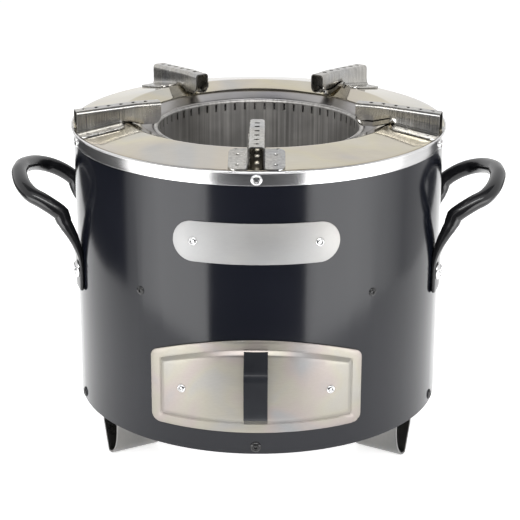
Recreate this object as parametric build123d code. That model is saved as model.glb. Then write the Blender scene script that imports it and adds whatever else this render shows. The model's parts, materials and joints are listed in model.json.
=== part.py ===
from build123d import *
from math import atan2, cos, radians, sin, sqrt, tan
import os

# Charcoal stove. Z is up, the drawer opens towards -Y, all sizes are in mm.
# The origin is on the body's centre line, level with the undersides of the feet.

# Clearances between pieces
SEAT_GAP = 0.05          # between two pieces that rest face to face
SLIP_GAP = 0.15          # between one round piece and the round piece inside it
SLIDE_GAP = 0.3          # under and behind the pieces of the drawer
RIVET_GAP = 0.1          # round a rivet in its hole

# Body shell
BODY_R = 140.0
SHELL_T = 1.0
SHELL_BOTTOM = 36.0
OPENING_HALF_W = 66.5
OPENING_BOTTOM = 64.0
OPENING_TOP = 116.0
OPENING_CORNER_R = 5.0

# Top plate, a 10 degree cone with a rounded ridge
TOP_T = 1.0
TOP_EDGE_R = 140.2
TOP_EDGE_Z = 249.65
TOP_SLOPE = 10.0
RIDGE_R = 105.0
RIDGE_ROUND = 4.0
TOP_HOLE_R = 90.0
TOP_HOLE_Z = 250.6

# Rim band
BAND_T = 0.9
BAND_BOTTOM = 238.6
BEAD_R = 0.95
BEAD_CENTRE_R = 141.35
BEAD_CENTRE_Z = 248.3

# Firebox liner and its rolled lip
LINER_R = 76.5
LINER_T = 0.9
LIP_R = 1.8
LIP_CENTRE_Z = 243.6
LIP_SWEEP = 240.0
LINER_FLOOR_R = 60.0
SLOT_COUNT = 60
SLOT_W = 1.6
SLOT_BOTTOM = 237.4
SLOT_TOP = 242.9

# Throat cone between the top plate and the liner
THROAT_T = 0.8
THROAT_OUTER_R = 96.0
THROAT_INNER_R = 81.3
THROAT_INNER_Z = 245.6
THROAT_SKIRT_BOTTOM = 239.0

# Air jacket and insulation
JACKET_R = 82.4
JACKET_T = 0.8
JACKET_TOP = 244.6
INSULATION_R = 132.0
INSULATION_TOP = 240.0

# Firebox floor
FLOOR_T = 1.2
FLOOR_BOTTOM = 129.0
FLOOR_SKIRT_TOP = 158.0
AIR_HOLE_R = 1.6
AIR_HOLE_COUNT = 24

# Charcoal grate
GRATE_R = 75.2
GRATE_T = 4.0
GRATE_SLOT_W = 5.0
GRATE_INNER_SLOTS = 10
GRATE_OUTER_SLOTS = 20
GRATE_INNER_RING = (14.0, 36.0)
GRATE_OUTER_RING = (42.0, 66.0)
GRATE_RIB_T = 2.0
GRATE_RIB_W = 4.0

# Base pan
PAN_T = 1.2
PAN_BOTTOM = 37.0
PAN_RIM_TOP = 47.0

# Feet
FOOT_ANGLES = {"foot_left": -60.0, "foot_right": 60.0, "foot_rear": 180.0}
FOOT_T = 1.5
FOOT_INNER_R = 92.0
FOOT_OUTER_R = 130.0
FOOT_HALF_W = 10.5
FOOT_FLAT_HALF_W = 1.5
FOOT_FLANGE_W = 7.0

# Ash tray and its rails
TRAY_HALF_W = 62.0
TRAY_T = 1.0
TRAY_BOTTOM = 67.0
TRAY_TOP = 102.0
TRAY_REAR_Y = 78.0
TRAY_CORNER_R = 3.0
RAIL_T = 1.2
RAIL_SHELF_W = 5.0
RAIL_FOOT_W = 12.0
RAIL_LIP_H = 8.0
RAIL_SIDE_GAP = 0.6
RAIL_FRONT_Y = -117.0
RAIL_REAR_Y = 92.0

# Drawer front, a curved plate with a raised field
FRONT_T = 1.0
FRONT_BOTTOM = 53.2
FRONT_TOP = 124.8
FRONT_HALF_ANGLE = 32.7
FRONT_ARCH_DROP = 16.2
FRONT_CORNER_R = 6.5
FIELD_RISE = 2.0
FIELD_RAMP = 3.3
FIELD_SINK = 0.5          # how far the ramp runs on below the border's surface
FIELD_BOTTOM = 62.0
FIELD_TOP = 117.3
FIELD_HALF_W = 67.6
FIELD_CORNER_R = 6.0
FIELD_INSET = 0.6

# Drawer handle, a bent strap
STRAP_W = 17.0
STRAP_T = 2.0
STRAP_REACH_Y = -161.0
STRAP_TOP = 117.0
STRAP_BOTTOM = 61.3
STRAP_LEG_FALL = 11.2
STRAP_BEND_R = 9.0

# Pot supports
SUPPORT_COUNT = 5
SUPPORT_W = 11.5
SUPPORT_T = 1.2
SUPPORT_INNER_R = 77.5
SUPPORT_OUTER_R = 141.0
SUPPORT_FLAT_R = 95.0
SUPPORT_TOP = 269.3
SUPPORT_END_TOP = 266.4
SUPPORT_CORNER_R = 2.6
SUPPORT_FOOT_R = 108.5   # where the side walls reach the top plate
NOTCH_R = 106.5
NOTCH_Z = 257.6
BELLY_START_R = 104.0
BELLY_START_Z = 256.0
BELLY_MID_R = 91.0
BELLY_END_R = 85.0
BELLY_Z = 252.6
BELLY_FOLD = 2.6
WING_START_R = 107.5
WING_HALF_SPAN = 19.8
WING_CORNER_R = 6.0
WING_ROOT_R = 1.5
WELD_R = 1.5
WELD_DEPTH = 0.3
WELD_REACH = 13.0
WELD_RADII = (118.0, 134.0)
TOP_SLOT_FIRST_R = 134.5
TOP_SLOT_PITCH = 9.3
TOP_SLOT_COUNT = 6
TOP_SLOT_L = 4.4
TOP_SLOT_W = 3.4

# Handles, bent from tube with flattened ends
TUBE_R = 6.04
TUBE_T = 1.0
HANDLE_AZ = 72.0
HANDLE_END_W = 17.5
HANDLE_END_T = 3.0
HANDLE_END_BOTTOM = 127.0
HANDLE_END_TOP = 160.0
HANDLE_END_CORNER_R = 5.0
HANDLE_NECK = (139.6, 44.6, 181.0)
HANDLE_LEG = (152.8, 45.5, 192.2)
HANDLE_TURN = (169.7, 40.8, 201.1)
HANDLE_BAR = (182.2, 12.0, 208.3)
HANDLE_REACH = 183.0
HANDLE_TOP = 208.9
HALF_PAST = 0.53         # share of the centre line, a little past the grip's middle
NECK_END = 0.14          # share of it where the tube is round
NECK_SECTIONS = ((0.0, HANDLE_END_W, HANDLE_END_T), (0.035, 17.1, 3.5), (0.07, 15.4, 7.0),
                 (0.105, 13.2, 10.6), (NECK_END, 2 * TUBE_R + 0.02, 2 * TUBE_R))

# Nameplate
NAMEPLATE_T = 0.8
NAMEPLATE_BOTTOM = 181.2
NAMEPLATE_TOP = 211.2
NAMEPLATE_HALF_ANGLE = 24.6
NAMEPLATE_END_SHAPE = 0.93  # reach of a round end over half the plate's height
NAMEPLATE_RIVET_AZ = 18.4
NAMEPLATE_Z = (NAMEPLATE_BOTTOM + NAMEPLATE_TOP) / 2

# Rivets: head radius, head height, shank radius, mandrel hole radius
RIVET_TAIL = 2.5
TAIL_SPREAD = 1.35       # the set tail's radius over the shank's
TAIL_CHAMFER = 0.6
HEAD_EDGE = 0.2          # height of the head's upright edge over the head's height
HEAD_CROWN = (0.74, 0.7)  # a point of the crown, over the head's radius and height
HOLE_REACH = 8.0         # how far a hole's cutter stands out on both sides of a sheet
RIM_RIVET = (4.0, 1.6, 2.0, 1.1)
BASE_RIVET = (4.0, 1.6, 2.0, 1.1)
BODY_RIVET = (3.2, 1.2, 1.6, 0.9)
NAMEPLATE_RIVET = (3.2, 1.2, 1.6, 0.9)
FRONT_RIVET = (3.2, 1.2, 1.6, 0.9)
HANDLE_RIVET = (6.75, 3.0, 2.5, 1.3)
RIM_RIVET_Z = 242.9
BASE_RIVET_Z = 41.6
BODY_RIVET_Z = 151.6
BODY_RIVET_ANGLES = (-36.45, 36.45, 180.0)
HANDLE_RIVET_Z = 143.6
FRONT_RIVET_AZ = 22.0
FRONT_RIVET_Z = 84.3

# Radii that follow from the values above
SHELL_IN_R = BODY_R - SHELL_T
LINED_R = SHELL_IN_R - SLIP_GAP
BAND_IN_R = BODY_R + SEAT_GAP
BAND_OUT_R = BAND_IN_R + BAND_T
FLOOR_TOP = FLOOR_BOTTOM + FLOOR_T
FRONT_IN_R = BODY_R + SLIDE_GAP
FRONT_OUT_R = FRONT_IN_R + FRONT_T
FIELD_IN_R = FRONT_IN_R + FIELD_RISE
FIELD_OUT_R = FRONT_OUT_R + FIELD_RISE
NAMEPLATE_IN_R = BODY_R + SEAT_GAP
NAMEPLATE_OUT_R = NAMEPLATE_IN_R + NAMEPLATE_T
HANDLE_IN_R = BODY_R + SEAT_GAP
PAN_TOP = PAN_BOTTOM + PAN_T
PATTERN_ANGLES = [360.0 / SUPPORT_COUNT * i for i in range(SUPPORT_COUNT)]
HANDLE_ANGLES = (HANDLE_AZ, 180.0 - HANDLE_AZ, 180.0 + HANDLE_AZ, 360.0 - HANDLE_AZ)


def turned(angle):
    """Turn something built at the front round to an angle, counted towards +X."""
    return Rot(0, 0, angle)


def radial(angle):
    """Turn something built along +X so that it points out at an angle from the front."""
    return Rot(0, 0, angle - 90)


def revolved(points, rounds=()):
    """Revolve a closed outline of (radius, height) points; rounds are (index, radius)."""
    edge = Polyline(*points, close=True)
    face = make_face(edge)
    for index, radius in rounds:
        spot = Vector(points[index][0], points[index][1], 0)
        face = fillet(face.vertices().sort_by_distance(spot)[0], radius)
    return revolve(Plane.XZ * face, Axis.Z)


def ring(inner, outer, bottom, top):
    """Upright ring."""
    return revolved([(inner, bottom), (outer, bottom), (outer, top), (inner, top)])


def cylinder(radius, bottom, top):
    """Upright cylinder on the centre line."""
    return Pos(0, 0, bottom) * extrude(Circle(radius), top - bottom)


def radial_pin(radius, near, far, angle, height):
    """Round bar that runs outward from the centre line, used to cut holes."""
    bar = extrude(Circle(radius), far - near)
    return turned(angle) * Pos(0, -near, height) * Rot(90, 0, 0) * bar


def rivet(sizes, seat, grip, angle, height):
    """Blind rivet with its head on radius seat, going inward through grip."""
    head_r, head_h, shank_r, bore_r = sizes
    tail_r = shank_r * TAIL_SPREAD
    tail_end = grip + RIVET_TAIL
    edge_h = head_h * HEAD_EDGE
    with BuildSketch(Plane.XZ) as profile:
        with BuildLine():
            Polyline((0, -tail_end), (tail_r - TAIL_CHAMFER, -tail_end),
                     (tail_r, -tail_end + TAIL_CHAMFER), (tail_r, -grip), (shank_r, -grip),
                     (shank_r, 0), (head_r, 0), (head_r, edge_h))
            ThreePointArc((head_r, edge_h), (head_r * HEAD_CROWN[0], head_h * HEAD_CROWN[1]),
                          (bore_r, head_h))
            Polyline((bore_r, head_h), (bore_r, 0), (0, 0), (0, -tail_end))
        make_face()
    solid = revolve(profile.sketch, Axis.Z)
    return turned(angle) * Pos(0, -seat, height) * Rot(90, 0, 0) * solid


def group(solids):
    """Keep several loose solids together as one node."""
    return Compound(children=list(solids))


def cut_holes(solid, shank_r, radius, spots):
    """Cut rivet holes through the sheet that stands at a radius."""
    for angle, height in spots:
        solid -= radial_pin(shank_r + RIVET_GAP, radius - HOLE_REACH, radius + HOLE_REACH,
                            angle, height)
    return solid


def top_height(radius):
    """Height of the top plate's outer slope."""
    return TOP_EDGE_Z + (TOP_EDGE_R - radius) * tan(radians(TOP_SLOPE))


def arched_face(half_w, bottom, top, corner):
    """Flat outline with a level bottom and the arched top of the drawer front."""
    front_half = FRONT_OUT_R * sin(radians(FRONT_HALF_ANGLE))
    arch_r = (front_half ** 2 + FRONT_ARCH_DROP ** 2) / (2 * FRONT_ARCH_DROP)
    side_z = top - arch_r + sqrt(arch_r ** 2 - half_w ** 2)
    outline = [
        Line((-half_w, bottom), (half_w, bottom)),
        Line((half_w, bottom), (half_w, side_z)),
        ThreePointArc((half_w, side_z), (0, top), (-half_w, side_z)),
        Line((-half_w, side_z), (-half_w, bottom)),
    ]
    face = make_face(outline)
    return fillet(face.vertices(), corner)


def arched_prism(half_w, bottom, top, corner, near=100.0, far=150.0):
    """The arched outline carried from near to far in front of the centre line."""
    face = Plane.XZ.offset(near) * arched_face(half_w, bottom, top, corner)
    return extrude(face, far - near)


def body_shell():
    """Painted outer shell with the drawer's opening."""
    top = top_height(BODY_R) - TOP_T / cos(radians(TOP_SLOPE)) - SEAT_GAP
    shell = ring(SHELL_IN_R, BODY_R, SHELL_BOTTOM, top)
    shell -= arched_prism(OPENING_HALF_W, OPENING_BOTTOM, OPENING_TOP, OPENING_CORNER_R)
    shell = cut_holes(shell, RIM_RIVET[2], BODY_R, [(a, RIM_RIVET_Z) for a in PATTERN_ANGLES])
    shell = cut_holes(shell, BASE_RIVET[2], BODY_R, [(a, BASE_RIVET_Z) for a in PATTERN_ANGLES])
    shell = cut_holes(shell, BODY_RIVET[2], BODY_R,
                      [(a, BODY_RIVET_Z) for a in BODY_RIVET_ANGLES])
    shell = cut_holes(shell, HANDLE_RIVET[2], BODY_R,
                      [(a, HANDLE_RIVET_Z) for a in HANDLE_ANGLES])
    return cut_holes(shell, NAMEPLATE_RIVET[2], BODY_R,
                     [(a, NAMEPLATE_Z) for a in (-NAMEPLATE_RIVET_AZ, NAMEPLATE_RIVET_AZ)])


def rim_band():
    """Bright band round the top of the shell, with a rolled bead."""
    meet_z = BEAD_CENTRE_Z - sqrt(BEAD_R ** 2 - (BEAD_CENTRE_R - BAND_OUT_R) ** 2)
    bead_in = (BEAD_CENTRE_R - BEAD_R, BEAD_CENTRE_Z)
    bead_out = (BEAD_CENTRE_R + BEAD_R, BEAD_CENTRE_Z)
    bead_top = (BEAD_CENTRE_R, BEAD_CENTRE_Z + BEAD_R)
    shoulder = BEAD_R * sqrt(0.5)
    outline = [
        Line((BAND_IN_R, BAND_BOTTOM), (BAND_OUT_R, BAND_BOTTOM)),
        Line((BAND_OUT_R, BAND_BOTTOM), (BAND_OUT_R, meet_z)),
        ThreePointArc((BAND_OUT_R, meet_z), bead_out, bead_top),
        ThreePointArc(bead_top, (BEAD_CENTRE_R - shoulder, BEAD_CENTRE_Z + shoulder), bead_in),
        Line(bead_in, (BAND_IN_R, BEAD_CENTRE_Z)),
        Line((BAND_IN_R, BEAD_CENTRE_Z), (BAND_IN_R, BAND_BOTTOM)),
    ]
    band = revolve(Plane.XZ * make_face(outline), Axis.Z)
    return cut_holes(band, RIM_RIVET[2], BAND_OUT_R, [(a, RIM_RIVET_Z) for a in PATTERN_ANGLES])


def top_plate():
    """Conical top plate with a rounded ridge."""
    ridge_z = top_height(RIDGE_R)
    inner_slope = (ridge_z - TOP_HOLE_Z) / (RIDGE_R - TOP_HOLE_R)
    outer_drop = TOP_T / cos(radians(TOP_SLOPE))
    inner_drop = TOP_T * sqrt(1 + inner_slope ** 2)
    points = [
        (TOP_EDGE_R, TOP_EDGE_Z),
        (RIDGE_R, ridge_z),
        (TOP_HOLE_R, TOP_HOLE_Z),
        (TOP_HOLE_R, TOP_HOLE_Z - inner_drop),
        (RIDGE_R, ridge_z - (outer_drop + inner_drop) / 2),
        (TOP_EDGE_R, TOP_EDGE_Z - outer_drop),
    ]
    return revolved(points, [(1, RIDGE_ROUND + TOP_T), (4, RIDGE_ROUND)])


def throat_cone():
    """Funnel from the top plate down to the liner, tucked under the plate."""
    ridge_z = top_height(RIDGE_R)
    slope = (ridge_z - TOP_HOLE_Z) / (RIDGE_R - TOP_HOLE_R)
    under = TOP_HOLE_Z - TOP_T * sqrt(1 + slope ** 2) - SEAT_GAP
    outer_z = under + (THROAT_OUTER_R - TOP_HOLE_R) * slope
    cone_slope = (under - THROAT_INNER_Z) / (TOP_HOLE_R - THROAT_INNER_R)
    drop = THROAT_T * sqrt(1 + slope ** 2)
    cone_drop = THROAT_T * sqrt(1 + cone_slope ** 2)
    points = [
        (THROAT_OUTER_R, outer_z),
        (TOP_HOLE_R, under),
        (THROAT_INNER_R, THROAT_INNER_Z),
        (THROAT_INNER_R - THROAT_T, THROAT_INNER_Z - THROAT_T),
        (THROAT_INNER_R - THROAT_T, THROAT_SKIRT_BOTTOM),
        (THROAT_INNER_R, THROAT_SKIRT_BOTTOM),
        (THROAT_INNER_R, THROAT_INNER_Z - cone_drop),
        (TOP_HOLE_R, under - cone_drop),
        (THROAT_OUTER_R, outer_z - drop),
    ]
    return revolved(points)


def lip_profile():
    """Section of the liner's outward roll."""
    centre = (LINER_R + LIP_R, LIP_CENTRE_Z)
    inner = LIP_R - LINER_T
    start = 180.0
    middle = start - LIP_SWEEP / 2
    end = start - LIP_SWEEP

    def spot(radius, angle):
        return (centre[0] + radius * cos(radians(angle)),
                centre[1] + radius * sin(radians(angle)))

    outline = [
        ThreePointArc(spot(LIP_R, start), spot(LIP_R, middle), spot(LIP_R, end)),
        Line(spot(LIP_R, end), spot(inner, end)),
        ThreePointArc(spot(inner, end), spot(inner, middle), spot(inner, start)),
        Line(spot(inner, start), spot(LIP_R, start)),
    ]
    return make_face(outline)


def firebox_liner():
    """Liner with a rolled lip, a ring of air slots and an inward floor flange."""
    floor = FLOOR_TOP + SEAT_GAP
    wall = revolved([
        (LINER_FLOOR_R, floor),
        (LINER_R + LINER_T, floor),
        (LINER_R + LINER_T, LIP_CENTRE_Z),
        (LINER_R, LIP_CENTRE_Z),
        (LINER_R, floor + LINER_T),
        (LINER_FLOOR_R, floor + LINER_T),
    ])
    wall += revolve(Plane.XZ * lip_profile(), Axis.Z)
    height = SLOT_TOP - SLOT_BOTTOM
    middle = (SLOT_TOP + SLOT_BOTTOM) / 2
    cutter = Pos(LINER_R, 0, middle) * Box(6, SLOT_W, height)
    return wall - [radial(360.0 / SLOT_COUNT * (i + 0.5)) * cutter for i in range(SLOT_COUNT)]


def air_jacket():
    """Sleeve that leads air up to the liner's slots."""
    return ring(JACKET_R - JACKET_T, JACKET_R, FLOOR_TOP + SEAT_GAP, JACKET_TOP)


def insulation():
    """Packed fibre ring round the air jacket."""
    return ring(JACKET_R + SLIP_GAP, INSULATION_R, FLOOR_TOP + SEAT_GAP, INSULATION_TOP)


def firebox_floor():
    """Disc under the firebox with an upturned skirt and a ring of air holes."""
    floor = revolved([
        (LINER_FLOOR_R, FLOOR_BOTTOM),
        (LINED_R, FLOOR_BOTTOM),
        (LINED_R, FLOOR_SKIRT_TOP),
        (LINED_R - FLOOR_T, FLOOR_SKIRT_TOP),
        (LINED_R - FLOOR_T, FLOOR_TOP),
        (LINER_FLOOR_R, FLOOR_TOP),
    ], [(1, FLOOR_T * 2), (4, FLOOR_T)])
    middle_r = (LINER_R + LINER_T + JACKET_R - JACKET_T) / 2
    hole = Pos(middle_r, 0, 0) * cylinder(AIR_HOLE_R, FLOOR_BOTTOM - 1, FLOOR_TOP + 1)
    floor -= [radial(360.0 / AIR_HOLE_COUNT * i) * hole for i in range(AIR_HOLE_COUNT)]
    floor = cut_holes(floor, HANDLE_RIVET[2], LINED_R,
                      [(a, HANDLE_RIVET_Z) for a in HANDLE_ANGLES])
    return cut_holes(floor, BODY_RIVET[2], LINED_R,
                     [(a, BODY_RIVET_Z) for a in BODY_RIVET_ANGLES])


def charcoal_grate():
    """Loose cast grate with two rings of slots and a rib underneath."""
    bottom = FLOOR_TOP + LINER_T + 2 * SEAT_GAP
    grate = cylinder(GRATE_R, bottom, bottom + GRATE_T)
    for count, (near, far) in ((GRATE_INNER_SLOTS, GRATE_INNER_RING),
                               (GRATE_OUTER_SLOTS, GRATE_OUTER_RING)):
        length = far - near
        spot = Pos((near + far) / 2, 0, bottom + GRATE_T / 2)
        cutter = spot * Box(length, GRATE_SLOT_W, GRATE_T + 2)
        grate -= [radial(360.0 / count * i) * cutter for i in range(count)]
    rib_r = LINER_FLOOR_R - 1
    rib = ring(rib_r - GRATE_RIB_W, rib_r, bottom - GRATE_RIB_T, bottom)
    for i in range(GRATE_OUTER_SLOTS):
        angle = 360.0 / GRATE_OUTER_SLOTS * i
        gap = Pos(rib_r, 0, bottom) * Box(4 * GRATE_RIB_W, GRATE_SLOT_W, 3 * GRATE_RIB_T)
        rib -= radial(angle) * gap
    return grate + rib


def base_pan():
    """Base pan with an upturned rim riveted inside the shell."""
    pan = revolved([
        (0, PAN_BOTTOM),
        (LINED_R, PAN_BOTTOM),
        (LINED_R, PAN_RIM_TOP),
        (LINED_R - PAN_T, PAN_RIM_TOP),
        (LINED_R - PAN_T, PAN_TOP),
        (0, PAN_TOP),
    ], [(1, PAN_T * 2), (4, PAN_T)])
    return cut_holes(pan, BASE_RIVET[2], LINED_R, [(a, BASE_RIVET_Z) for a in PATTERN_ANGLES])


def foot(angle):
    """Foot bent from sheet as a round-bottomed trough with two welding flanges."""
    top = PAN_BOTTOM - SEAT_GAP
    half = FOOT_HALF_W
    flat = FOOT_FLAT_HALF_W
    inner = half - FOOT_T
    outer_arc = half - flat
    middle = outer_arc * (1 - cos(radians(45)))
    inner_arc = inner - flat
    inner_mid = inner_arc * (1 - cos(radians(45)))
    outline = [
        Line((-flat, 0), (flat, 0)),
        ThreePointArc((flat, 0), (half - middle, middle), (half, outer_arc)),
        Line((half, outer_arc), (half, top - FOOT_T)),
        Line((half, top - FOOT_T), (half + FOOT_FLANGE_W, top - FOOT_T)),
        Line((half + FOOT_FLANGE_W, top - FOOT_T), (half + FOOT_FLANGE_W, top)),
        Line((half + FOOT_FLANGE_W, top), (inner, top)),
        Line((inner, top), (inner, inner_arc + FOOT_T)),
        ThreePointArc((inner, inner_arc + FOOT_T), (inner - inner_mid, inner_mid + FOOT_T),
                      (flat, FOOT_T)),
        Line((flat, FOOT_T), (-flat, FOOT_T)),
        ThreePointArc((-flat, FOOT_T), (-inner + inner_mid, inner_mid + FOOT_T),
                      (-inner, inner_arc + FOOT_T)),
        Line((-inner, inner_arc + FOOT_T), (-inner, top)),
        Line((-inner, top), (-half - FOOT_FLANGE_W, top)),
        Line((-half - FOOT_FLANGE_W, top), (-half - FOOT_FLANGE_W, top - FOOT_T)),
        Line((-half - FOOT_FLANGE_W, top - FOOT_T), (-half, top - FOOT_T)),
        Line((-half, top - FOOT_T), (-half, outer_arc)),
        ThreePointArc((-half, outer_arc), (-half + middle, middle), (-flat, 0)),
    ]
    face = Plane.YZ.offset(FOOT_INNER_R) * make_face(outline)
    return radial(angle) * extrude(face, FOOT_OUTER_R - FOOT_INNER_R)


def ash_tray():
    """Open tray whose front wall follows the drawer front."""
    front_r = FIELD_IN_R - SEAT_GAP
    reach = 2 * BODY_R
    outer = Pos(0, TRAY_REAR_Y - reach / 2, 0) * Rectangle(2 * TRAY_HALF_W, reach)
    inner = Pos(0, TRAY_REAR_Y - TRAY_T - reach / 2, 0) * Rectangle(
        2 * (TRAY_HALF_W - TRAY_T), reach)
    outer = fillet(outer.vertices().group_by(Axis.Y)[-1], TRAY_CORNER_R)
    inner = fillet(inner.vertices().group_by(Axis.Y)[-1], TRAY_CORNER_R - TRAY_T)
    outer = outer & Circle(front_r)
    inner = inner & Circle(front_r - TRAY_T)
    height = TRAY_TOP - TRAY_BOTTOM
    tray = Pos(0, 0, TRAY_BOTTOM) * extrude(outer, height)
    tray -= Pos(0, 0, TRAY_BOTTOM + TRAY_T) * extrude(inner, height)
    return cut_holes(tray, FRONT_RIVET[2], front_r,
                     [(a, FRONT_RIVET_Z) for a in (-FRONT_RIVET_AZ, FRONT_RIVET_AZ)])


def drawer_rail(side):
    """Rail bent as a step: a foot on the base pan, a shelf and a guiding lip."""
    shelf = TRAY_BOTTOM - SLIDE_GAP
    lip_x = TRAY_HALF_W + RAIL_SIDE_GAP
    web_x = lip_x - RAIL_SHELF_W
    foot_z = PAN_TOP + SEAT_GAP
    points = [
        (web_x - RAIL_FOOT_W, foot_z),
        (web_x + RAIL_T, foot_z),
        (web_x + RAIL_T, shelf - RAIL_T),
        (lip_x + RAIL_T, shelf - RAIL_T),
        (lip_x + RAIL_T, shelf + RAIL_LIP_H),
        (lip_x, shelf + RAIL_LIP_H),
        (lip_x, shelf),
        (web_x, shelf),
        (web_x, foot_z + RAIL_T),
        (web_x - RAIL_FOOT_W, foot_z + RAIL_T),
    ]
    face = make_face(Polyline(*points, close=True))
    rail = extrude(Plane.XZ.offset(-RAIL_REAR_Y) * face, RAIL_REAR_Y - RAIL_FRONT_Y)
    return rail if side > 0 else mirror(rail, Plane.YZ)


def raised_block(outer_r, inset):
    """Block under the raised field, with sloped edges."""
    grow = FIELD_RAMP * FIELD_SINK / FIELD_RISE - inset
    prism = arched_prism(FIELD_HALF_W + grow, FIELD_BOTTOM - grow, FIELD_TOP + grow,
                         FIELD_CORNER_R + grow)
    block = prism & cylinder(outer_r, 0, FRONT_TOP + 10)
    crown = block.faces().filter_by(GeomType.CYLINDER).sort_by(SortBy.AREA)[-1]
    ramp = FIELD_RAMP * (FIELD_RISE + FIELD_SINK) / FIELD_RISE
    return chamfer(crown.edges(), length=ramp, length2=FIELD_RISE + FIELD_SINK,
                   reference=crown)


def drawer_front():
    """Curved front plate with a raised field pressed out of the sheet."""
    half = FRONT_OUT_R * sin(radians(FRONT_HALF_ANGLE))
    border = arched_prism(half, FRONT_BOTTOM, FRONT_TOP, FRONT_CORNER_R)
    border &= cylinder(FRONT_OUT_R, 0, FRONT_TOP + 10)
    plate = border + raised_block(FIELD_OUT_R, 0)
    plate -= cylinder(FRONT_IN_R, 0, FRONT_TOP + 10)
    plate -= raised_block(FIELD_IN_R, FIELD_INSET)
    return cut_holes(plate, FRONT_RIVET[2], FIELD_OUT_R,
                     [(a, FRONT_RIVET_Z) for a in (-FRONT_RIVET_AZ, FRONT_RIVET_AZ)])


def drawer_handle():
    """Bent strap standing on the raised field."""
    seat = FIELD_OUT_R + SEAT_GAP
    fall = STRAP_LEG_FALL
    run = -seat - STRAP_REACH_Y
    grade = fall / run
    deep = 20.0
    leg_t = STRAP_T * sqrt(1 + grade ** 2)
    corner_shift = leg_t - STRAP_T * grade
    outer = [
        (-seat + deep, STRAP_TOP + deep * grade),
        (STRAP_REACH_Y, STRAP_TOP - fall),
        (STRAP_REACH_Y, STRAP_BOTTOM + fall),
        (-seat + deep, STRAP_BOTTOM - deep * grade),
    ]
    front_y = STRAP_REACH_Y + STRAP_T
    inner = [
        (-seat + deep, STRAP_TOP + deep * grade - leg_t),
        (front_y, STRAP_TOP - fall - corner_shift),
        (front_y, STRAP_BOTTOM + fall + corner_shift),
        (-seat + deep, STRAP_BOTTOM - deep * grade + leg_t),
    ]
    faces = []
    for points, radius in ((outer, STRAP_BEND_R), (inner, STRAP_BEND_R - STRAP_T)):
        face = make_face(Polyline(*points, close=True))
        bends = face.vertices().group_by(Axis.X)[0]
        faces.append(fillet(bends, radius))
    strap_face = faces[0] - faces[1]
    strap = extrude(Plane.YZ * strap_face, STRAP_W / 2, both=True)
    strap -= cylinder(seat, 0, FRONT_TOP + 40)
    return strap.solids().sort_by(Axis.Y)[0]


def belly(inset):
    """Lower line of a support's belly, moved in by an inset: start, bend, round."""
    lean = atan2(BELLY_START_Z - BELLY_Z, BELLY_START_R - BELLY_MID_R)
    round_r = BELLY_END_R - SUPPORT_INNER_R
    centre_z = BELLY_Z + round_r
    start = (BELLY_START_R, BELLY_START_Z + inset / cos(lean))
    bend = (BELLY_MID_R - inset * tan(lean / 2), BELLY_Z + inset)
    arc_r = round_r - inset
    low = (BELLY_END_R, centre_z - arc_r)
    middle = (BELLY_END_R - arc_r * sqrt(0.5), centre_z - arc_r * sqrt(0.5))
    high = (BELLY_END_R - arc_r, centre_z)
    return start, bend, low, middle, high


def support_outline(inset, past):
    """Side outline of a pot support, or of its hollow when it runs past the ends."""
    slope = (SUPPORT_TOP - SUPPORT_END_TOP) / (SUPPORT_OUTER_R - SUPPORT_FLAT_R)
    top = SUPPORT_TOP - inset
    end_r = SUPPORT_OUTER_R + past
    end_top = top - slope * (end_r - SUPPORT_FLAT_R)
    inner_r = SUPPORT_INNER_R - past
    start, bend, low, middle, high = belly(inset)
    notch = (NOTCH_R, NOTCH_Z + inset)
    if past:
        foot_in = (NOTCH_R, PAN_TOP)
        foot_out = (end_r, PAN_TOP)
    else:
        foot_in = (SUPPORT_FOOT_R, top_height(SUPPORT_FOOT_R) + SEAT_GAP)
        foot_out = (end_r, top_height(end_r) + SEAT_GAP)
    outline = [
        Line((inner_r, top), (SUPPORT_FLAT_R, top)),
        Line((SUPPORT_FLAT_R, top), (end_r, end_top)),
        Line((end_r, end_top), foot_out),
        Line(foot_out, foot_in),
        Line(foot_in, notch),
        Line(notch, start),
        Line(start, bend),
        Line(bend, low),
        ThreePointArc(low, middle, high),
    ]
    if past:
        outline.append(Line(high, (inner_r, high[1])))
        high = (inner_r, high[1])
    outline.append(Line(high, (inner_r, top)))
    return make_face(outline)


def fold_outline(inset):
    """Outline whose lower side is the belly, open wide everywhere else."""
    wide = 12.0
    top = SUPPORT_TOP + wide
    bottom = BELLY_Z - wide
    inner_r = SUPPORT_INNER_R - wide
    outer_r = SUPPORT_OUTER_R + wide
    start, bend, low, middle, high = belly(inset)
    outline = [
        Line((inner_r, top), (outer_r, top)),
        Line((outer_r, top), (outer_r, bottom)),
        Line((outer_r, bottom), (start[0], bottom)),
        Line((start[0], bottom), start),
        Line(start, bend),
        Line(bend, low),
        ThreePointArc(low, middle, high),
        Line(high, (inner_r, high[1])),
        Line((inner_r, high[1]), (inner_r, top)),
    ]
    return make_face(outline)


def folded_block(half, inset, past, corner, fold):
    """Block of a support's outline with rounded top edges and folded lower edges."""
    block = extrude(Plane.XZ * support_outline(inset, past), half, both=True)
    tops = []
    for edge in block.edges():
        middle = edge.center()
        size = edge.bounding_box().size
        if middle.Z > SUPPORT_END_TOP - 2 * SUPPORT_T and size.X > 5 and size.Y < 0.01:
            tops.append(edge)
    block = fillet(tops, corner)
    core = extrude(Plane.XZ * fold_outline(inset), half - fold, both=True)
    side = loft([Plane.XZ.offset(half - fold) * fold_outline(inset),
                 Plane.XZ.offset(half) * fold_outline(inset + fold)], ruled=True)
    return block & (core + side + mirror(side, Plane.XZ))


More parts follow.
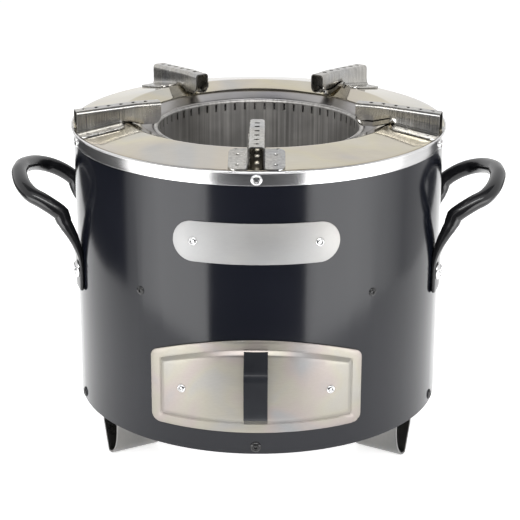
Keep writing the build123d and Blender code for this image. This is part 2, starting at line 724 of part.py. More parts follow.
def wing_plate():
    """Flat flange sheet lying on the top plate's slope, before the channel is cut."""
    length = (SUPPORT_OUTER_R - WING_START_R) / cos(radians(TOP_SLOPE))
    plate = Pos(length / 2, 0, 0) * Rectangle(length, 2 * WING_HALF_SPAN)
    plate = fillet(plate.vertices(), WING_CORNER_R)
    sheet = extrude(plate, SUPPORT_T)
    spot = Pos(WING_START_R, 0, top_height(WING_START_R) + SEAT_GAP)
    return spot * Rot(0, TOP_SLOPE, 0) * sheet


def support_at_front():
    """One pot support along +X: a slotted channel with wings and a folded belly."""
    half = SUPPORT_W / 2
    inner_half = half - SUPPORT_T
    inner_fold = BELLY_FOLD - SUPPORT_T * (2 - sqrt(2))
    past = 6.0
    hollow_top = SUPPORT_CORNER_R - SUPPORT_T
    outer = folded_block(half, 0, 0, SUPPORT_CORNER_R, BELLY_FOLD)
    hollow = folded_block(inner_half, SUPPORT_T, past, hollow_top, inner_fold)
    support = outer + wing_plate() - hollow
    roots = []
    for edge in support.edges():
        middle = edge.center()
        size = edge.bounding_box().size
        on_wall = abs(abs(middle.Y) - half) < 0.01 and size.Y < 0.01
        if on_wall and size.X > 20 and middle.Z < top_height(NOTCH_R):
            roots.append(edge)
    support = fillet(roots, WING_ROOT_R)
    gap_half = half - BELLY_FOLD
    slit_in = SUPPORT_INNER_R - SUPPORT_T
    slit_out = NOTCH_R + SUPPORT_T
    slit = Box(slit_out - slit_in, 2 * gap_half, 2 * (NOTCH_Z - BELLY_Z))
    support -= Pos((slit_in + slit_out) / 2, 0, BELLY_Z) * slit
    slot = extrude(SlotOverall(TOP_SLOT_L, TOP_SLOT_W), 8)
    for i in range(TOP_SLOT_COUNT):
        support -= Pos(TOP_SLOT_FIRST_R - i * TOP_SLOT_PITCH, 0, SUPPORT_END_TOP - 4) * slot
    ball_r = (WELD_R ** 2 + WELD_DEPTH ** 2) / (2 * WELD_DEPTH)
    for weld_r in WELD_RADII:
        for side in (-1, 1):
            height = top_height(weld_r) + SUPPORT_T + SEAT_GAP + ball_r - WELD_DEPTH
            support -= Pos(weld_r, side * WELD_REACH, height) * Sphere(ball_r)
    return support


def handle_end_frame():
    """Foot of the right handle's front end, its outward and sideways directions."""
    angle = radians(HANDLE_AZ)
    out = Vector(sin(angle), -cos(angle), 0)
    along = Vector(cos(angle), sin(angle), 0)
    return out * (HANDLE_IN_R + HANDLE_END_T / 2), out, along


def handle_path():
    """Centre line of the right handle's bent tube."""
    foot_spot = handle_end_frame()[0]
    start = Vector(foot_spot.X, foot_spot.Y, HANDLE_END_TOP)
    knots = [start]
    for x, y, z in (HANDLE_NECK, HANDLE_LEG, HANDLE_TURN, HANDLE_BAR):
        knots.append(Vector(x, -y, z))
    knots.append(Vector(HANDLE_REACH, 0, HANDLE_TOP))
    for x, y, z in (HANDLE_BAR, HANDLE_TURN, HANDLE_LEG, HANDLE_NECK):
        knots.append(Vector(x, y, z))
    knots.append(Vector(start.X, -start.Y, start.Z))
    return Spline(*knots, tangents=[(0, 0, 1), (0, 0, -1)])


def neck_plane(path, share):
    """Plane square to the handle's centre line, its X along the flat end's width."""
    along = handle_end_frame()[2]
    run = path % share
    return Plane(origin=path @ share, x_dir=along - run * along.dot(run), z_dir=run)


def handle_flat():
    """Flattened end of the right handle, with rounded bottom corners."""
    foot_spot, out, along = handle_end_frame()
    height = HANDLE_END_TOP - HANDLE_END_BOTTOM
    foot_plane = Plane(origin=(foot_spot.X, foot_spot.Y, HANDLE_END_BOTTOM), x_dir=along,
                       z_dir=(0, 0, 1))
    strip = extrude(foot_plane * SlotOverall(HANDLE_END_W, HANDLE_END_T), height)
    plane = Plane(origin=(foot_spot.X, foot_spot.Y, HANDLE_END_BOTTOM), x_dir=along,
                  z_dir=out)
    corner = HANDLE_END_CORNER_R
    mask = Pos(0, height) * RectangleRounded(HANDLE_END_W - 0.2, 2 * height, corner)
    return strip & extrude(plane * mask, 10, both=True)


def tube_half(path, share, radius):
    """Round tube from a share of the centre line to a little past the grip's middle."""
    half_path = path.trim(share, HALF_PAST)
    plane = neck_plane(path, share)
    return sweep(plane * SlotOverall(2 * radius + 0.02, 2 * radius), path=half_path)


def handle_neck(path):
    """Part of the right handle that changes from the flat end to the round tube."""
    sections = []
    for share, width, thick in NECK_SECTIONS:
        sections.append(neck_plane(path, share) * SlotOverall(width, thick))
    return loft(sections)


def handle_right():
    """Right handle: bent tube with two flattened, riveted ends."""
    path = handle_path()
    half = handle_flat() + handle_neck(path) + tube_half(path, NECK_END, TUBE_R)
    half -= tube_half(path, NECK_END + 0.01, TUBE_R - TUBE_T)
    half -= radial_pin(HANDLE_RIVET[2] + RIVET_GAP, BODY_R - 5, BODY_R + 10, HANDLE_AZ,
                       HANDLE_RIVET_Z)
    half -= Pos(BODY_R, BODY_R, BODY_R) * Box(2 * BODY_R, 2 * BODY_R, 2 * BODY_R)
    return half + mirror(half, Plane.XZ)


def nameplate():
    """Blank plate with round ends, curved to the shell."""
    half_z = (NAMEPLATE_TOP - NAMEPLATE_BOTTOM) / 2
    half_x = NAMEPLATE_OUT_R * sin(radians(NAMEPLATE_HALF_ANGLE))
    end_x = half_x - half_z * NAMEPLATE_END_SHAPE
    bar = Rectangle(2 * end_x, 2 * half_z)
    for side in (-1, 1):
        bar += Pos(side * end_x, 0) * Ellipse(half_x - end_x, half_z)
    prism = extrude(Plane.XZ.offset(BODY_R - 40) * Pos(0, NAMEPLATE_Z) * bar, 60)
    plate = prism & ring(NAMEPLATE_IN_R, NAMEPLATE_OUT_R, NAMEPLATE_BOTTOM - 5,
                         NAMEPLATE_TOP + 5)
    return cut_holes(plate, NAMEPLATE_RIVET[2], BODY_R,
                     [(a, NAMEPLATE_Z) for a in (-NAMEPLATE_RIVET_AZ, NAMEPLATE_RIVET_AZ)])


def rivets():
    """Every set of rivets, each set one node."""
    inside = SLIP_GAP + FLOOR_T + SHELL_T + 2 * SEAT_GAP
    handle_grip = HANDLE_END_T + SEAT_GAP + inside
    return {
        "rim_rivets": group(
            rivet(RIM_RIVET, BAND_OUT_R, BAND_T + SHELL_T + 3 * SEAT_GAP, a, RIM_RIVET_Z)
            for a in PATTERN_ANGLES),
        "base_rivets": group(
            rivet(BASE_RIVET, BODY_R, inside, a, BASE_RIVET_Z) for a in PATTERN_ANGLES),
        "body_rivets": group(
            rivet(BODY_RIVET, BODY_R, inside, a, BODY_RIVET_Z) for a in BODY_RIVET_ANGLES),
        "nameplate_rivets": group(
            rivet(NAMEPLATE_RIVET, NAMEPLATE_OUT_R, NAMEPLATE_T + SHELL_T + 3 * SEAT_GAP,
                  a, NAMEPLATE_Z) for a in (-NAMEPLATE_RIVET_AZ, NAMEPLATE_RIVET_AZ)),
        "drawer_front_rivets": group(
            rivet(FRONT_RIVET, FIELD_OUT_R, FRONT_T + TRAY_T + 3 * SEAT_GAP, a,
                  FRONT_RIVET_Z) for a in (-FRONT_RIVET_AZ, FRONT_RIVET_AZ)),
        "handle_rivets": group(
            rivet(HANDLE_RIVET, HANDLE_IN_R + HANDLE_END_T, handle_grip, a, HANDLE_RIVET_Z)
            for a in HANDLE_ANGLES),
    }


def all_nodes():
    """Every node of the stove by name."""
    nodes = {
        "body_shell": body_shell(),
        "rim_band": rim_band(),
        "top_plate": top_plate(),
        "throat_cone": throat_cone(),
        "firebox_liner": firebox_liner(),
        "air_jacket": air_jacket(),
        "insulation": insulation(),
        "firebox_floor": firebox_floor(),
        "charcoal_grate": charcoal_grate(),
        "base_pan": base_pan(),
        "ash_tray": ash_tray(),
        "drawer_front": drawer_front(),
        "drawer_handle": drawer_handle(),
        "drawer_rail_left": drawer_rail(-1),
        "drawer_rail_right": drawer_rail(1),
        "nameplate": nameplate(),
        "handle_right": handle_right(),
    }
    nodes["handle_left"] = mirror(nodes["handle_right"], Plane.YZ)
    for name, angle in FOOT_ANGLES.items():
        nodes[name] = foot(angle)
    support = support_at_front()
    for number, angle in enumerate(PATTERN_ANGLES, start=1):
        nodes[f"pot_support_{number}"] = radial(angle) * support
    nodes.update(rivets())
    return nodes


os.makedirs("parts", exist_ok=True)
for node_name, shape in all_nodes().items():
    export_step(shape, f"parts/{node_name}.step")
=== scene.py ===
import json
import math

import bmesh
import bpy
from mathutils import Matrix, Vector


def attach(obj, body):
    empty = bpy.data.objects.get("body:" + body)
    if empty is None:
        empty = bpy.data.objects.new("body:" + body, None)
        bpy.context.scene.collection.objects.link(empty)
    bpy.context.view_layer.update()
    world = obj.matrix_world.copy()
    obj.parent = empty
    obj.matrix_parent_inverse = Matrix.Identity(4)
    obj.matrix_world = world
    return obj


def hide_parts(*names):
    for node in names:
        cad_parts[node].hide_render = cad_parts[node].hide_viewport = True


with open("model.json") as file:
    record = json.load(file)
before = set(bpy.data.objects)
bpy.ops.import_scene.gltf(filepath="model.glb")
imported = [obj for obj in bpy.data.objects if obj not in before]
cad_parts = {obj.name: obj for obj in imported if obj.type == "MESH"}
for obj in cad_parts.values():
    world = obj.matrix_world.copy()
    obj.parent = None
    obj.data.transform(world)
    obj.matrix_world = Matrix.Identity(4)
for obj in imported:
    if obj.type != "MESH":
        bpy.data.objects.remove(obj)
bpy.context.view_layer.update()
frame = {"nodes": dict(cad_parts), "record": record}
nodes = frame["nodes"]
print("frame loaded,", len(nodes), "nodes")


# Camera, found by fitting the photo; the stove stands turned half a degree from it
cameraSettings = {
    "place": (0.00142, -1.2397, 0.57172),
    "target": (0.00142, 0.0, 0.1356),
    "turn": 0.5,
    "roll": 0.2016,
    "lens": 116.21,
    "sensor": 36.0,
}


def makeCamera(settings):
    turn = Matrix.Rotation(math.radians(settings["turn"]), 4, "Z")
    place = turn @ Vector(settings["place"])
    target = turn @ Vector(settings["target"])
    look = (target - place).normalized()
    right = look.cross(Vector((0, 0, 1))).normalized()
    up = right.cross(look)
    roll = math.radians(settings["roll"])
    tiltedRight = right * math.cos(roll) + up * math.sin(roll)
    tiltedUp = up * math.cos(roll) - right * math.sin(roll)
    data = bpy.data.cameras.new("camera")
    data.lens = settings["lens"]
    data.sensor_width = settings["sensor"]
    data.clip_start = 0.05
    data.clip_end = 30
    camera = bpy.data.objects.new("camera", data)
    bpy.context.scene.collection.objects.link(camera)
    axes = Matrix((tiltedRight, tiltedUp, -look)).transposed()
    camera.matrix_world = Matrix.Translation(place) @ axes.to_4x4()
    bpy.context.scene.camera = camera


makeCamera(cameraSettings)
bpy.context.scene.view_settings.view_transform = "Standard"
print("camera set")


# Node helpers
def startMaterial(name):
    material = bpy.data.materials.new(name)
    material.use_nodes = True
    tree = material.node_tree
    tree.nodes.clear()
    output = tree.nodes.new("ShaderNodeOutputMaterial")
    shader = tree.nodes.new("ShaderNodeBsdfPrincipled")
    tree.links.new(shader.outputs[0], output.inputs["Surface"])
    return material, tree, shader


def objectPlace(tree, scale=(1, 1, 1), turn=(0, 0, 0)):
    coords = tree.nodes.new("ShaderNodeTexCoord")
    mapping = tree.nodes.new("ShaderNodeMapping")
    mapping.inputs["Scale"].default_value = scale
    mapping.inputs["Rotation"].default_value = [math.radians(a) for a in turn]
    tree.links.new(coords.outputs["Object"], mapping.inputs["Vector"])
    return mapping.outputs["Vector"]


def mathNode(tree, operation, first, second=None):
    node = tree.nodes.new("ShaderNodeMath")
    node.operation = operation
    for socket, value in zip(node.inputs, (first, second)):
        if value is None:
            continue
        if isinstance(value, (int, float)):
            socket.default_value = value
        else:
            tree.links.new(value, socket)
    return node.outputs[0]


def placeParts(tree):
    coords = tree.nodes.new("ShaderNodeTexCoord")
    split = tree.nodes.new("ShaderNodeSeparateXYZ")
    tree.links.new(coords.outputs["Object"], split.inputs[0])
    return split.outputs["X"], split.outputs["Y"], split.outputs["Z"]


def roundPlace(tree, scale):
    # Position on a round wall: angle round the centre line, radius and height
    across, along, height = placeParts(tree)
    squares = [mathNode(tree, "MULTIPLY", side, side) for side in (across, along)]
    angle = mathNode(tree, "ARCTAN2", across, along)
    radius = mathNode(tree, "SQRT", mathNode(tree, "ADD", *squares))
    join = tree.nodes.new("ShaderNodeCombineXYZ")
    for socket, value, share in zip(join.inputs, (angle, radius, height), scale):
        tree.links.new(mathNode(tree, "MULTIPLY", value, share), socket)
    return join.outputs[0]


def noise(tree, vector, scale, detail=2.0, roughness=0.5, distortion=0.0):
    node = tree.nodes.new("ShaderNodeTexNoise")
    node.inputs["Scale"].default_value = scale
    node.inputs["Detail"].default_value = detail
    node.inputs["Roughness"].default_value = roughness
    node.inputs["Distortion"].default_value = distortion
    tree.links.new(vector, node.inputs["Vector"])
    return node.outputs["Fac"]


def ramp(tree, value, stops):
    node = tree.nodes.new("ShaderNodeValToRGB")
    elements = node.color_ramp.elements
    while len(elements) < len(stops):
        elements.new(0.5)
    for element, (place, colour) in zip(elements, stops):
        element.position = place
        element.color = (*colour, 1)
    tree.links.new(value, node.inputs["Fac"])
    return node.outputs["Color"]


def spread(tree, value, low, high, fromLow=0.3, fromHigh=0.7):
    node = tree.nodes.new("ShaderNodeMapRange")
    node.inputs["From Min"].default_value = fromLow
    node.inputs["From Max"].default_value = fromHigh
    node.inputs["To Min"].default_value = low
    node.inputs["To Max"].default_value = high
    tree.links.new(value, node.inputs["Value"])
    return node.outputs["Result"]


def multiplied(tree, colour, shade):
    node = tree.nodes.new("ShaderNodeMix")
    node.data_type = "RGBA"
    node.blend_type = "MULTIPLY"
    node.inputs[0].default_value = 1.0
    tree.links.new(colour, node.inputs[6])
    tree.links.new(shade, node.inputs[7])
    return node.outputs[2]


def bump(tree, shader, height, strength, distance, under=None):
    node = tree.nodes.new("ShaderNodeBump")
    node.inputs["Strength"].default_value = strength
    node.inputs["Distance"].default_value = distance
    tree.links.new(height, node.inputs["Height"])
    if under is not None:
        tree.links.new(under, node.inputs["Normal"])
    tree.links.new(node.outputs["Normal"], shader.inputs["Normal"])
    return node.outputs["Normal"]


def bothAdded(tree, first, second, share):
    return mathNode(tree, "ADD", first, mathNode(tree, "MULTIPLY", second, share))


def hollowShade(tree, distance, dark):
    # Painted shade: darkens the colour in bores and the insides of folded sheet, where shade falls
    node = tree.nodes.new("ShaderNodeAmbientOcclusion")
    node.samples = 8
    node.only_local = True
    node.inputs["Distance"].default_value = distance
    return ramp(tree, node.outputs["AO"], [(0.3, (dark,) * 3), (0.75, (1, 1, 1))])


# Paint: a clouded black with dust, slow waves and fine orange peel; depths in metres
paintDetail = {"dustScale": 900, "peelScale": 520, "waveDepth": 0.004, "peelDepth": 0.00004}


def paintMaterial(name, settings):
    material, tree, shader = startMaterial(name)
    place = objectPlace(tree)
    cloud = noise(tree, place, settings["cloudScale"], 3)
    dust = noise(tree, place, paintDetail["dustScale"], 1)
    tree.links.new(ramp(tree, cloud, [(0.35, settings["dark"]), (0.65, settings["light"])]),
                   shader.inputs["Base Color"])
    tree.links.new(spread(tree, bothAdded(tree, cloud, dust, 0.25), *settings["roughness"],
                          0.35, 0.85), shader.inputs["Roughness"])
    shader.inputs["IOR"].default_value = settings["ior"]
    waves = noise(tree, place, settings["waveScale"], 1)
    peel = noise(tree, place, paintDetail["peelScale"], 1)
    first = bump(tree, shader, waves, settings["waves"], paintDetail["waveDepth"])
    bump(tree, shader, peel, settings["peel"], paintDetail["peelDepth"], first)
    return material


# Sheet steel: a clouded colour, fine brush lines and a little waviness. Lines run round the
# centre line (angle, radius, height) or along the axes, close together where a scale is large
roundLines = {"around": (0.6, 260, 260), "upright": (42, 4, 5)}
axisLines = {"across": (6, 260, 260), "ridges": (300, 300, 24), "fine": (120, 120, 120)}
steelDetail = {"tintTurn": (20, 35, 60), "waveDepth": 0.003, "lineDepth": 0.00006}


def steelMaterial(name, settings):
    material, tree, shader = startMaterial(name)
    if settings["lines"] in roundLines:
        linePlace = roundPlace(tree, roundLines[settings["lines"]])
    else:
        linePlace = objectPlace(tree, axisLines[settings["lines"]])
    lines = noise(tree, linePlace, settings["lineScale"], 4, 0.6)
    place = objectPlace(tree)
    cloud = noise(tree, place, settings["cloudScale"], 3, 0.55, 0.4)
    tintPlace = objectPlace(tree, turn=steelDetail["tintTurn"])
    tint = noise(tree, tintPlace, settings["tintScale"], 2, 0.5, 0.6)
    colour = ramp(tree, tint, settings["tints"])
    for value, dark in ((cloud, settings["shade"]), (lines, settings["lineShade"])):
        shade = ramp(tree, value, [(0.3, (dark,) * 3), (0.7, (1, 1, 1))])
        colour = multiplied(tree, colour, shade)
    # Painted shade in bores and folds, from the occlusion node
    if "hollow" in settings:
        colour = multiplied(tree, colour, hollowShade(tree, *settings["hollow"]))
    tree.links.new(colour, shader.inputs["Base Color"])
    shader.inputs["Metallic"].default_value = 1.0
    rough = spread(tree, bothAdded(tree, cloud, lines, 0.6), *settings["roughness"], 0.5, 1.1)
    tree.links.new(rough, shader.inputs["Roughness"])
    waves = noise(tree, place, settings["waveScale"], 2)
    first = bump(tree, shader, waves, settings["waves"], steelDetail["waveDepth"])
    bump(tree, shader, lines, settings["lineBump"], steelDetail["lineDepth"], first)
    return material


heatTints = [(0.30, (0.53, 0.52, 0.50)), (0.40, (0.61, 0.56, 0.48)), (0.50, (0.64, 0.59, 0.46)),
             (0.60, (0.62, 0.58, 0.49)), (0.70, (0.56, 0.55, 0.51))]

paints = {
    "black_paint": {
        "dark": (0.005, 0.006, 0.010), "light": (0.008, 0.009, 0.014), "cloudScale": 9,
        "roughness": (0.10, 0.17), "ior": 1.42, "waveScale": 7, "waves": 0.12, "peel": 0.05,
    },
    "black_gloss": {
        "dark": (0.006, 0.006, 0.007), "light": (0.010, 0.010, 0.011), "cloudScale": 30,
        "roughness": (0.12, 0.22), "ior": 1.5, "waveScale": 40, "waves": 0.03, "peel": 0.12,
    },
    "black_rivet": {
        "dark": (0.012, 0.012, 0.013), "light": (0.03, 0.03, 0.03), "cloudScale": 300,
        "roughness": (0.08, 0.16), "ior": 1.5, "waveScale": 200, "waves": 0.02, "peel": 0.1,
    },
    "strap_paint": {
        "dark": (0.018, 0.019, 0.023), "light": (0.024, 0.026, 0.030), "cloudScale": 30,
        "roughness": (0.16, 0.26), "ior": 1.2, "waveScale": 40, "waves": 0.03, "peel": 0.1,
    },
}
# Some steels below also get painted shade in bores and folds, darkest where the sheet is most
# closed in
steels = {
    "bright_steel": {
        "lines": "around", "lineScale": 5, "cloudScale": 14, "tintScale": 10,
        "tints": [(0.3, (0.76, 0.76, 0.77)), (0.7, (0.84, 0.83, 0.82))], "shade": 0.9,
        "lineShade": 0.93, "roughness": (0.16, 0.24), "waveScale": 20, "waves": 0.02,
        "lineBump": 0.05,
    },
    "tinted_steel": {
        "lines": "across", "lineScale": 5, "cloudScale": 16, "tintScale": 13, "tints": heatTints,
        "shade": 0.86, "lineShade": 0.95, "roughness": (0.06, 0.11), "waveScale": 14,
        "waves": 0.03, "lineBump": 0.02,
    },
    "throat_steel": {
        "lines": "around", "lineScale": 5, "cloudScale": 30, "tintScale": 25,
        "tints": [(0.3, (0.45, 0.44, 0.46)), (0.7, (0.54, 0.52, 0.50))], "shade": 0.8,
        "lineShade": 0.9, "roughness": (0.26, 0.38), "waveScale": 30, "waves": 0.04,
        "lineBump": 0.1,
    },
    "liner_steel": {
        "lines": "upright", "lineScale": 1.0, "cloudScale": 30, "tintScale": 20,
        "tints": [(0.3, (0.66, 0.65, 0.64)), (0.7, (0.78, 0.76, 0.73))], "shade": 0.75,
        "lineShade": 0.6, "roughness": (0.4, 0.52), "waveScale": 24, "waves": 0.05,
        "lineBump": 0.3,
    },
    "plain_steel": {
        "lines": "across", "lineScale": 5, "cloudScale": 20, "tintScale": 12,
        "tints": [(0.3, (0.66, 0.66, 0.67)), (0.7, (0.74, 0.73, 0.72))], "shade": 0.8,
        "lineShade": 0.9, "roughness": (0.28, 0.4), "waveScale": 18, "waves": 0.04,
        "lineBump": 0.1,
    },
    "drawer_steel": {
        "lines": "across", "lineScale": 5, "cloudScale": 22, "tintScale": 22,
        "tints": [(0.3, (0.31, 0.315, 0.32)), (0.45, (0.37, 0.33, 0.31)),
                  (0.56, (0.37, 0.35, 0.30)), (0.7, (0.34, 0.335, 0.33))],
        "hollow": (0.0015, 0.3), "shade": 0.9, "lineShade": 0.93, "roughness": (0.36, 0.45),
        "waveScale": 26, "waves": 0.03, "lineBump": 0.06,
    },
    "plate_aluminium": {
        "lines": "across", "lineScale": 5, "cloudScale": 18, "tintScale": 14,
        "tints": [(0.3, (0.42, 0.42, 0.42)), (0.7, (0.47, 0.46, 0.445))], "shade": 0.9,
        "lineShade": 0.94, "roughness": (0.5, 0.58), "waveScale": 12, "waves": 0.02,
        "lineBump": 0.06,
    },
    "foot_steel": {
        "lines": "across", "lineScale": 5, "cloudScale": 30, "tintScale": 20,
        "tints": [(0.3, (0.21, 0.21, 0.205)), (0.7, (0.26, 0.255, 0.245))],
        "hollow": (0.012, 0.06), "shade": 0.82, "lineShade": 0.92, "roughness": (0.26, 0.36),
        "waveScale": 30, "waves": 0.05, "lineBump": 0.08,
    },
    "support_steel": {
        "lines": "ridges", "lineScale": 1.6, "cloudScale": 60, "tintScale": 30,
        "tints": [(0.3, (0.52, 0.52, 0.52)), (0.5, (0.60, 0.58, 0.54)), (0.7, (0.64, 0.63, 0.60))],
        "hollow": (0.004, 0.02), "shade": 0.8, "lineShade": 0.7, "roughness": (0.2, 0.3),
        "waveScale": 90, "waves": 0.03, "lineBump": 0.25,
    },
    "rivet_steel": {
        "lines": "fine", "lineScale": 6, "cloudScale": 200, "tintScale": 100,
        "tints": [(0.3, (0.78, 0.78, 0.78)), (0.7, (0.86, 0.86, 0.86))], "hollow": (0.0009, 0.04),
        "shade": 0.85, "lineShade": 0.9, "roughness": (0.14, 0.24), "waveScale": 300,
        "waves": 0.02, "lineBump": 0.1,
    },
}


# Cast iron of the grate
ironSettings = {"grainScale": 700, "patchScale": 40, "dark": (0.035, 0.032, 0.03),
                "light": (0.09, 0.082, 0.075), "roughness": (0.6, 0.85), "metal": 0.4,
                "grain": 0.5, "grainDepth": 0.0004}


def ironMaterial(settings):
    material, tree, shader = startMaterial("grate_iron")
    place = objectPlace(tree)
    grain = noise(tree, place, settings["grainScale"], 5, 0.65)
    patch = noise(tree, place, settings["patchScale"], 3)
    colour = ramp(tree, bothAdded(tree, patch, grain, 0.5),
                  [(0.5, settings["dark"]), (1.0, settings["light"])])
    tree.links.new(colour, shader.inputs["Base Color"])
    tree.links.new(spread(tree, grain, *settings["roughness"]), shader.inputs["Roughness"])
    shader.inputs["Metallic"].default_value = settings["metal"]
    bump(tree, shader, grain, settings["grain"], settings["grainDepth"])
    return material


# Packed fibre round the firebox
fibreSettings = {"strands": (300, 300, 900), "dark": (0.55, 0.52, 0.46),
                 "light": (0.86, 0.83, 0.77), "roughness": 0.95, "fluff": 0.7, "fluffDepth": 0.001}


def fibreMaterial(settings):
    material, tree, shader = startMaterial("fibre")
    strands = noise(tree, objectPlace(tree, settings["strands"]), 1.2, 6, 0.7, 1.2)
    colour = ramp(tree, strands, [(0.3, settings["dark"]), (0.7, settings["light"])])
    tree.links.new(colour, shader.inputs["Base Color"])
    shader.inputs["Roughness"].default_value = settings["roughness"]
    bump(tree, shader, strands, settings["fluff"], settings["fluffDepth"])
    return material


materials = {name: paintMaterial(name, settings) for name, settings in paints.items()}
materials.update({name: steelMaterial(name, settings) for name, settings in steels.items()})
materials["grate_iron"] = ironMaterial(ironSettings)
materials["fibre"] = fibreMaterial(fibreSettings)

slotOfNode = {part["node"]: part["material_slot"] for part in frame["record"]["subparts"]}
for nodeName, node in nodes.items():
    for slot in node.material_slots:
        slot.material = materials[slotOfNode[nodeName]]
for slot in nodes["drawer_handle"].material_slots:
    slot.material = materials["strap_paint"]
print("materials made")


# Modelling helpers; every piece is drawn at its own size and place
def selectAll():
    bpy.ops.mesh.select_all(action="SELECT")


def extrudeBy(step):
    bpy.ops.mesh.extrude_region_move(TRANSFORM_OT_translate={"value": step})


def startPiece(name):
    # An empty mesh in edit mode, drawn from a single point
    bpy.ops.object.select_all(action="DESELECT")
    bpy.ops.mesh.primitive_plane_add(size=0.01, location=(0, 0, 0))
    piece = bpy.context.object
    piece.name = name
    piece.data.name = name
    bpy.ops.object.mode_set(mode="EDIT")
    bpy.ops.mesh.select_mode(type="VERT")
    selectAll()
    bpy.ops.mesh.merge(type="CENTER")
    return piece


def drawLine(points):
    # Extrudes the single point through a list of places
    here = Vector((0, 0, 0))
    for number, point in enumerate(points):
        step = Vector(point) - here
        if number:
            extrudeBy(step)
        else:
            bpy.ops.transform.translate(value=step)
        here = Vector(point)


def fillOutline():
    selectAll()
    bpy.ops.mesh.edge_face_add()


def spinLine(steps, closed=True):
    if closed:
        fillOutline()
        bpy.ops.mesh.delete(type="ONLY_FACE")
    selectAll()
    bpy.ops.mesh.spin(steps=steps, angle=math.tau, center=(0, 0, 0), axis=(0, 0, 1))
    selectAll()
    bpy.ops.mesh.remove_doubles(threshold=0.000002)


def cutPlane(place, normal):
    # Cuts every face at a plane, place in mm, and takes nothing away
    selectAll()
    bpy.ops.mesh.bisect(plane_co=[value / 1000 for value in place], plane_no=normal)


def placeSelected(piece, places):
    mesh = bmesh.from_edit_mesh(piece.data)
    picked = sorted((v for v in mesh.verts if v.select), key=lambda v: v.index)
    if len(picked) != len(places):
        raise ValueError("section has %d points, not %d" % (len(picked), len(places)))
    for vert, place in zip(picked, places):
        vert.co = place
    bmesh.update_edit_mesh(piece.data)


def applyModifier(piece, kind, **values):
    modifier = piece.modifiers.new("shaping", kind)
    for name, value in values.items():
        setattr(modifier, name, value)
    bpy.ops.object.modifier_apply(modifier="shaping")


def facesOutward():
    selectAll()
    bpy.ops.mesh.normals_make_consistent(inside=False)
    bpy.ops.object.mode_set(mode="OBJECT")


def finishPiece(piece, slot, smooth):
    facesOutward()
    bpy.ops.object.shade_smooth_by_angle(angle=math.radians(smooth))
    piece.data.materials.clear()
    piece.data.materials.append(materials[slot])


def putOn(piece, body, *replaced):
    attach(piece, body)
    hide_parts(*replaced)
    print(piece.name, len(piece.data.polygons), "faces")


def arcPoints(centre, radius, start, end, count):
    points = []
    for i in range(count + 1):
        angle = math.radians(start + (end - start) * i / count)
        points.append((centre[0] + radius * math.cos(angle), centre[1] + radius * math.sin(angle)))
    return points


def profilePoints(pairs):
    # (radius, height) in mm to places in the plane of the front
    return [(radius / 1000, 0, height / 1000) for radius, height in pairs]


def copyTurned(piece, name, angle):
    # A copy with its own mesh, turned round the centre line
    twin = piece.copy()
    twin.data = piece.data.copy()
    twin.name = name
    twin.data.name = name
    bpy.context.scene.collection.objects.link(twin)
    twin.data.transform(Matrix.Rotation(math.radians(angle), 4, "Z"))
    return twin


def joinPieces(pieces, name):
    bpy.ops.object.select_all(action="DESELECT")
    for piece in pieces:
        piece.select_set(True)
    bpy.context.view_layer.objects.active = pieces[0]
    bpy.ops.object.join()
    pieces[0].name = name
    pieces[0].data.name = name
    return pieces[0]


# Rim band: a bright sheet with a rolled bead round its top
rimSettings = {"inner": 140.05, "outer": 140.95, "bottom": 238.6, "beadCentre": (141.35, 248.3),
               "bead": 0.95, "edgeRound": 0.25, "wallCuts": (241.5, 245.5), "steps": 240}


def makeRimBand(settings):
    piece = startPiece("rim_band_sheet")
    inner, outer, bottom = settings["inner"], settings["outer"], settings["bottom"]
    edge = settings["edgeRound"]
    rim, height = settings["beadCentre"]
    bead = settings["bead"]
    meet = math.degrees(math.asin(math.sqrt(bead ** 2 - (rim - outer) ** 2) / bead))
    outline = [(inner, height), (inner, bottom + edge), (inner + edge, bottom)]
    outline += arcPoints((outer - edge, bottom + edge), edge, -90, 0, 4)
    outline += [(outer, up) for up in settings["wallCuts"]]
    outline += arcPoints((rim, height), bead, -180 + meet, 180, 20)
    drawLine(profilePoints(outline))
    spinLine(settings["steps"])
    finishPiece(piece, "bright_steel", 50)
    putOn(piece, "stove", "rim_band")


makeRimBand(rimSettings)


# Top plate: a shallow cone of sheet with a rounded ridge and rolled-over edges
plateSettings = {"edge": (140.2, 249.65), "slope": 10.0, "ridge": 105.0, "hole": (90.0, 250.6),
                 "thick": 1.0, "ridgeRound": 5.0, "ridgeDeep": 1.6, "holeCut": 5, "steps": 240,
                 "slopeCuts": (0.1, 0.35, 0.65, 0.9), "holeRoll": [(0.3, 0.1), (0, -0.15)],
                 "edgeRoll": [(0, -0.25), (-0.08, -0.06), (-0.3, 0.05)]}


def makeTopPlate(settings):
    piece = startPiece("top_plate_sheet")
    edgeR, edgeZ = settings["edge"]
    holeR, holeZ = settings["hole"]
    slope = math.radians(settings["slope"])
    ridgeR = settings["ridge"]
    ridgeZ = edgeZ + (edgeR - ridgeR) * math.tan(slope)
    inward = math.atan2(ridgeZ - holeZ, ridgeR - holeR)
    bend = settings["ridgeRound"]
    reach = bend / math.cos((slope + inward) / 2)
    lean = (inward - slope) / 2
    centre = (ridgeR - reach * math.sin(lean), ridgeZ - reach * math.cos(lean))
    top = [(edgeR + across, edgeZ + up) for across, up in settings["edgeRoll"]]
    for share in settings["slopeCuts"]:
        radius = edgeR + (ridgeR + bend - edgeR) * share
        top.append((radius, edgeZ + (edgeR - radius) * math.tan(slope)))
    top += arcPoints(centre, bend, 90 - settings["slope"], 90 + math.degrees(inward), 8)
    top.append((holeR + settings["holeCut"], holeZ + settings["holeCut"] * math.tan(inward)))
    top += [(holeR + across, holeZ + up) for across, up in settings["holeRoll"]]
    thick = settings["thick"]
    under = [(holeR, holeZ - thick), (ridgeR, ridgeZ - thick * settings["ridgeDeep"]),
             (edgeR, edgeZ - thick)]
    drawLine(profilePoints(top + under))
    spinLine(settings["steps"])
    finishPiece(piece, "tinted_steel", 40)
    putOn(piece, "stove", "top_plate")


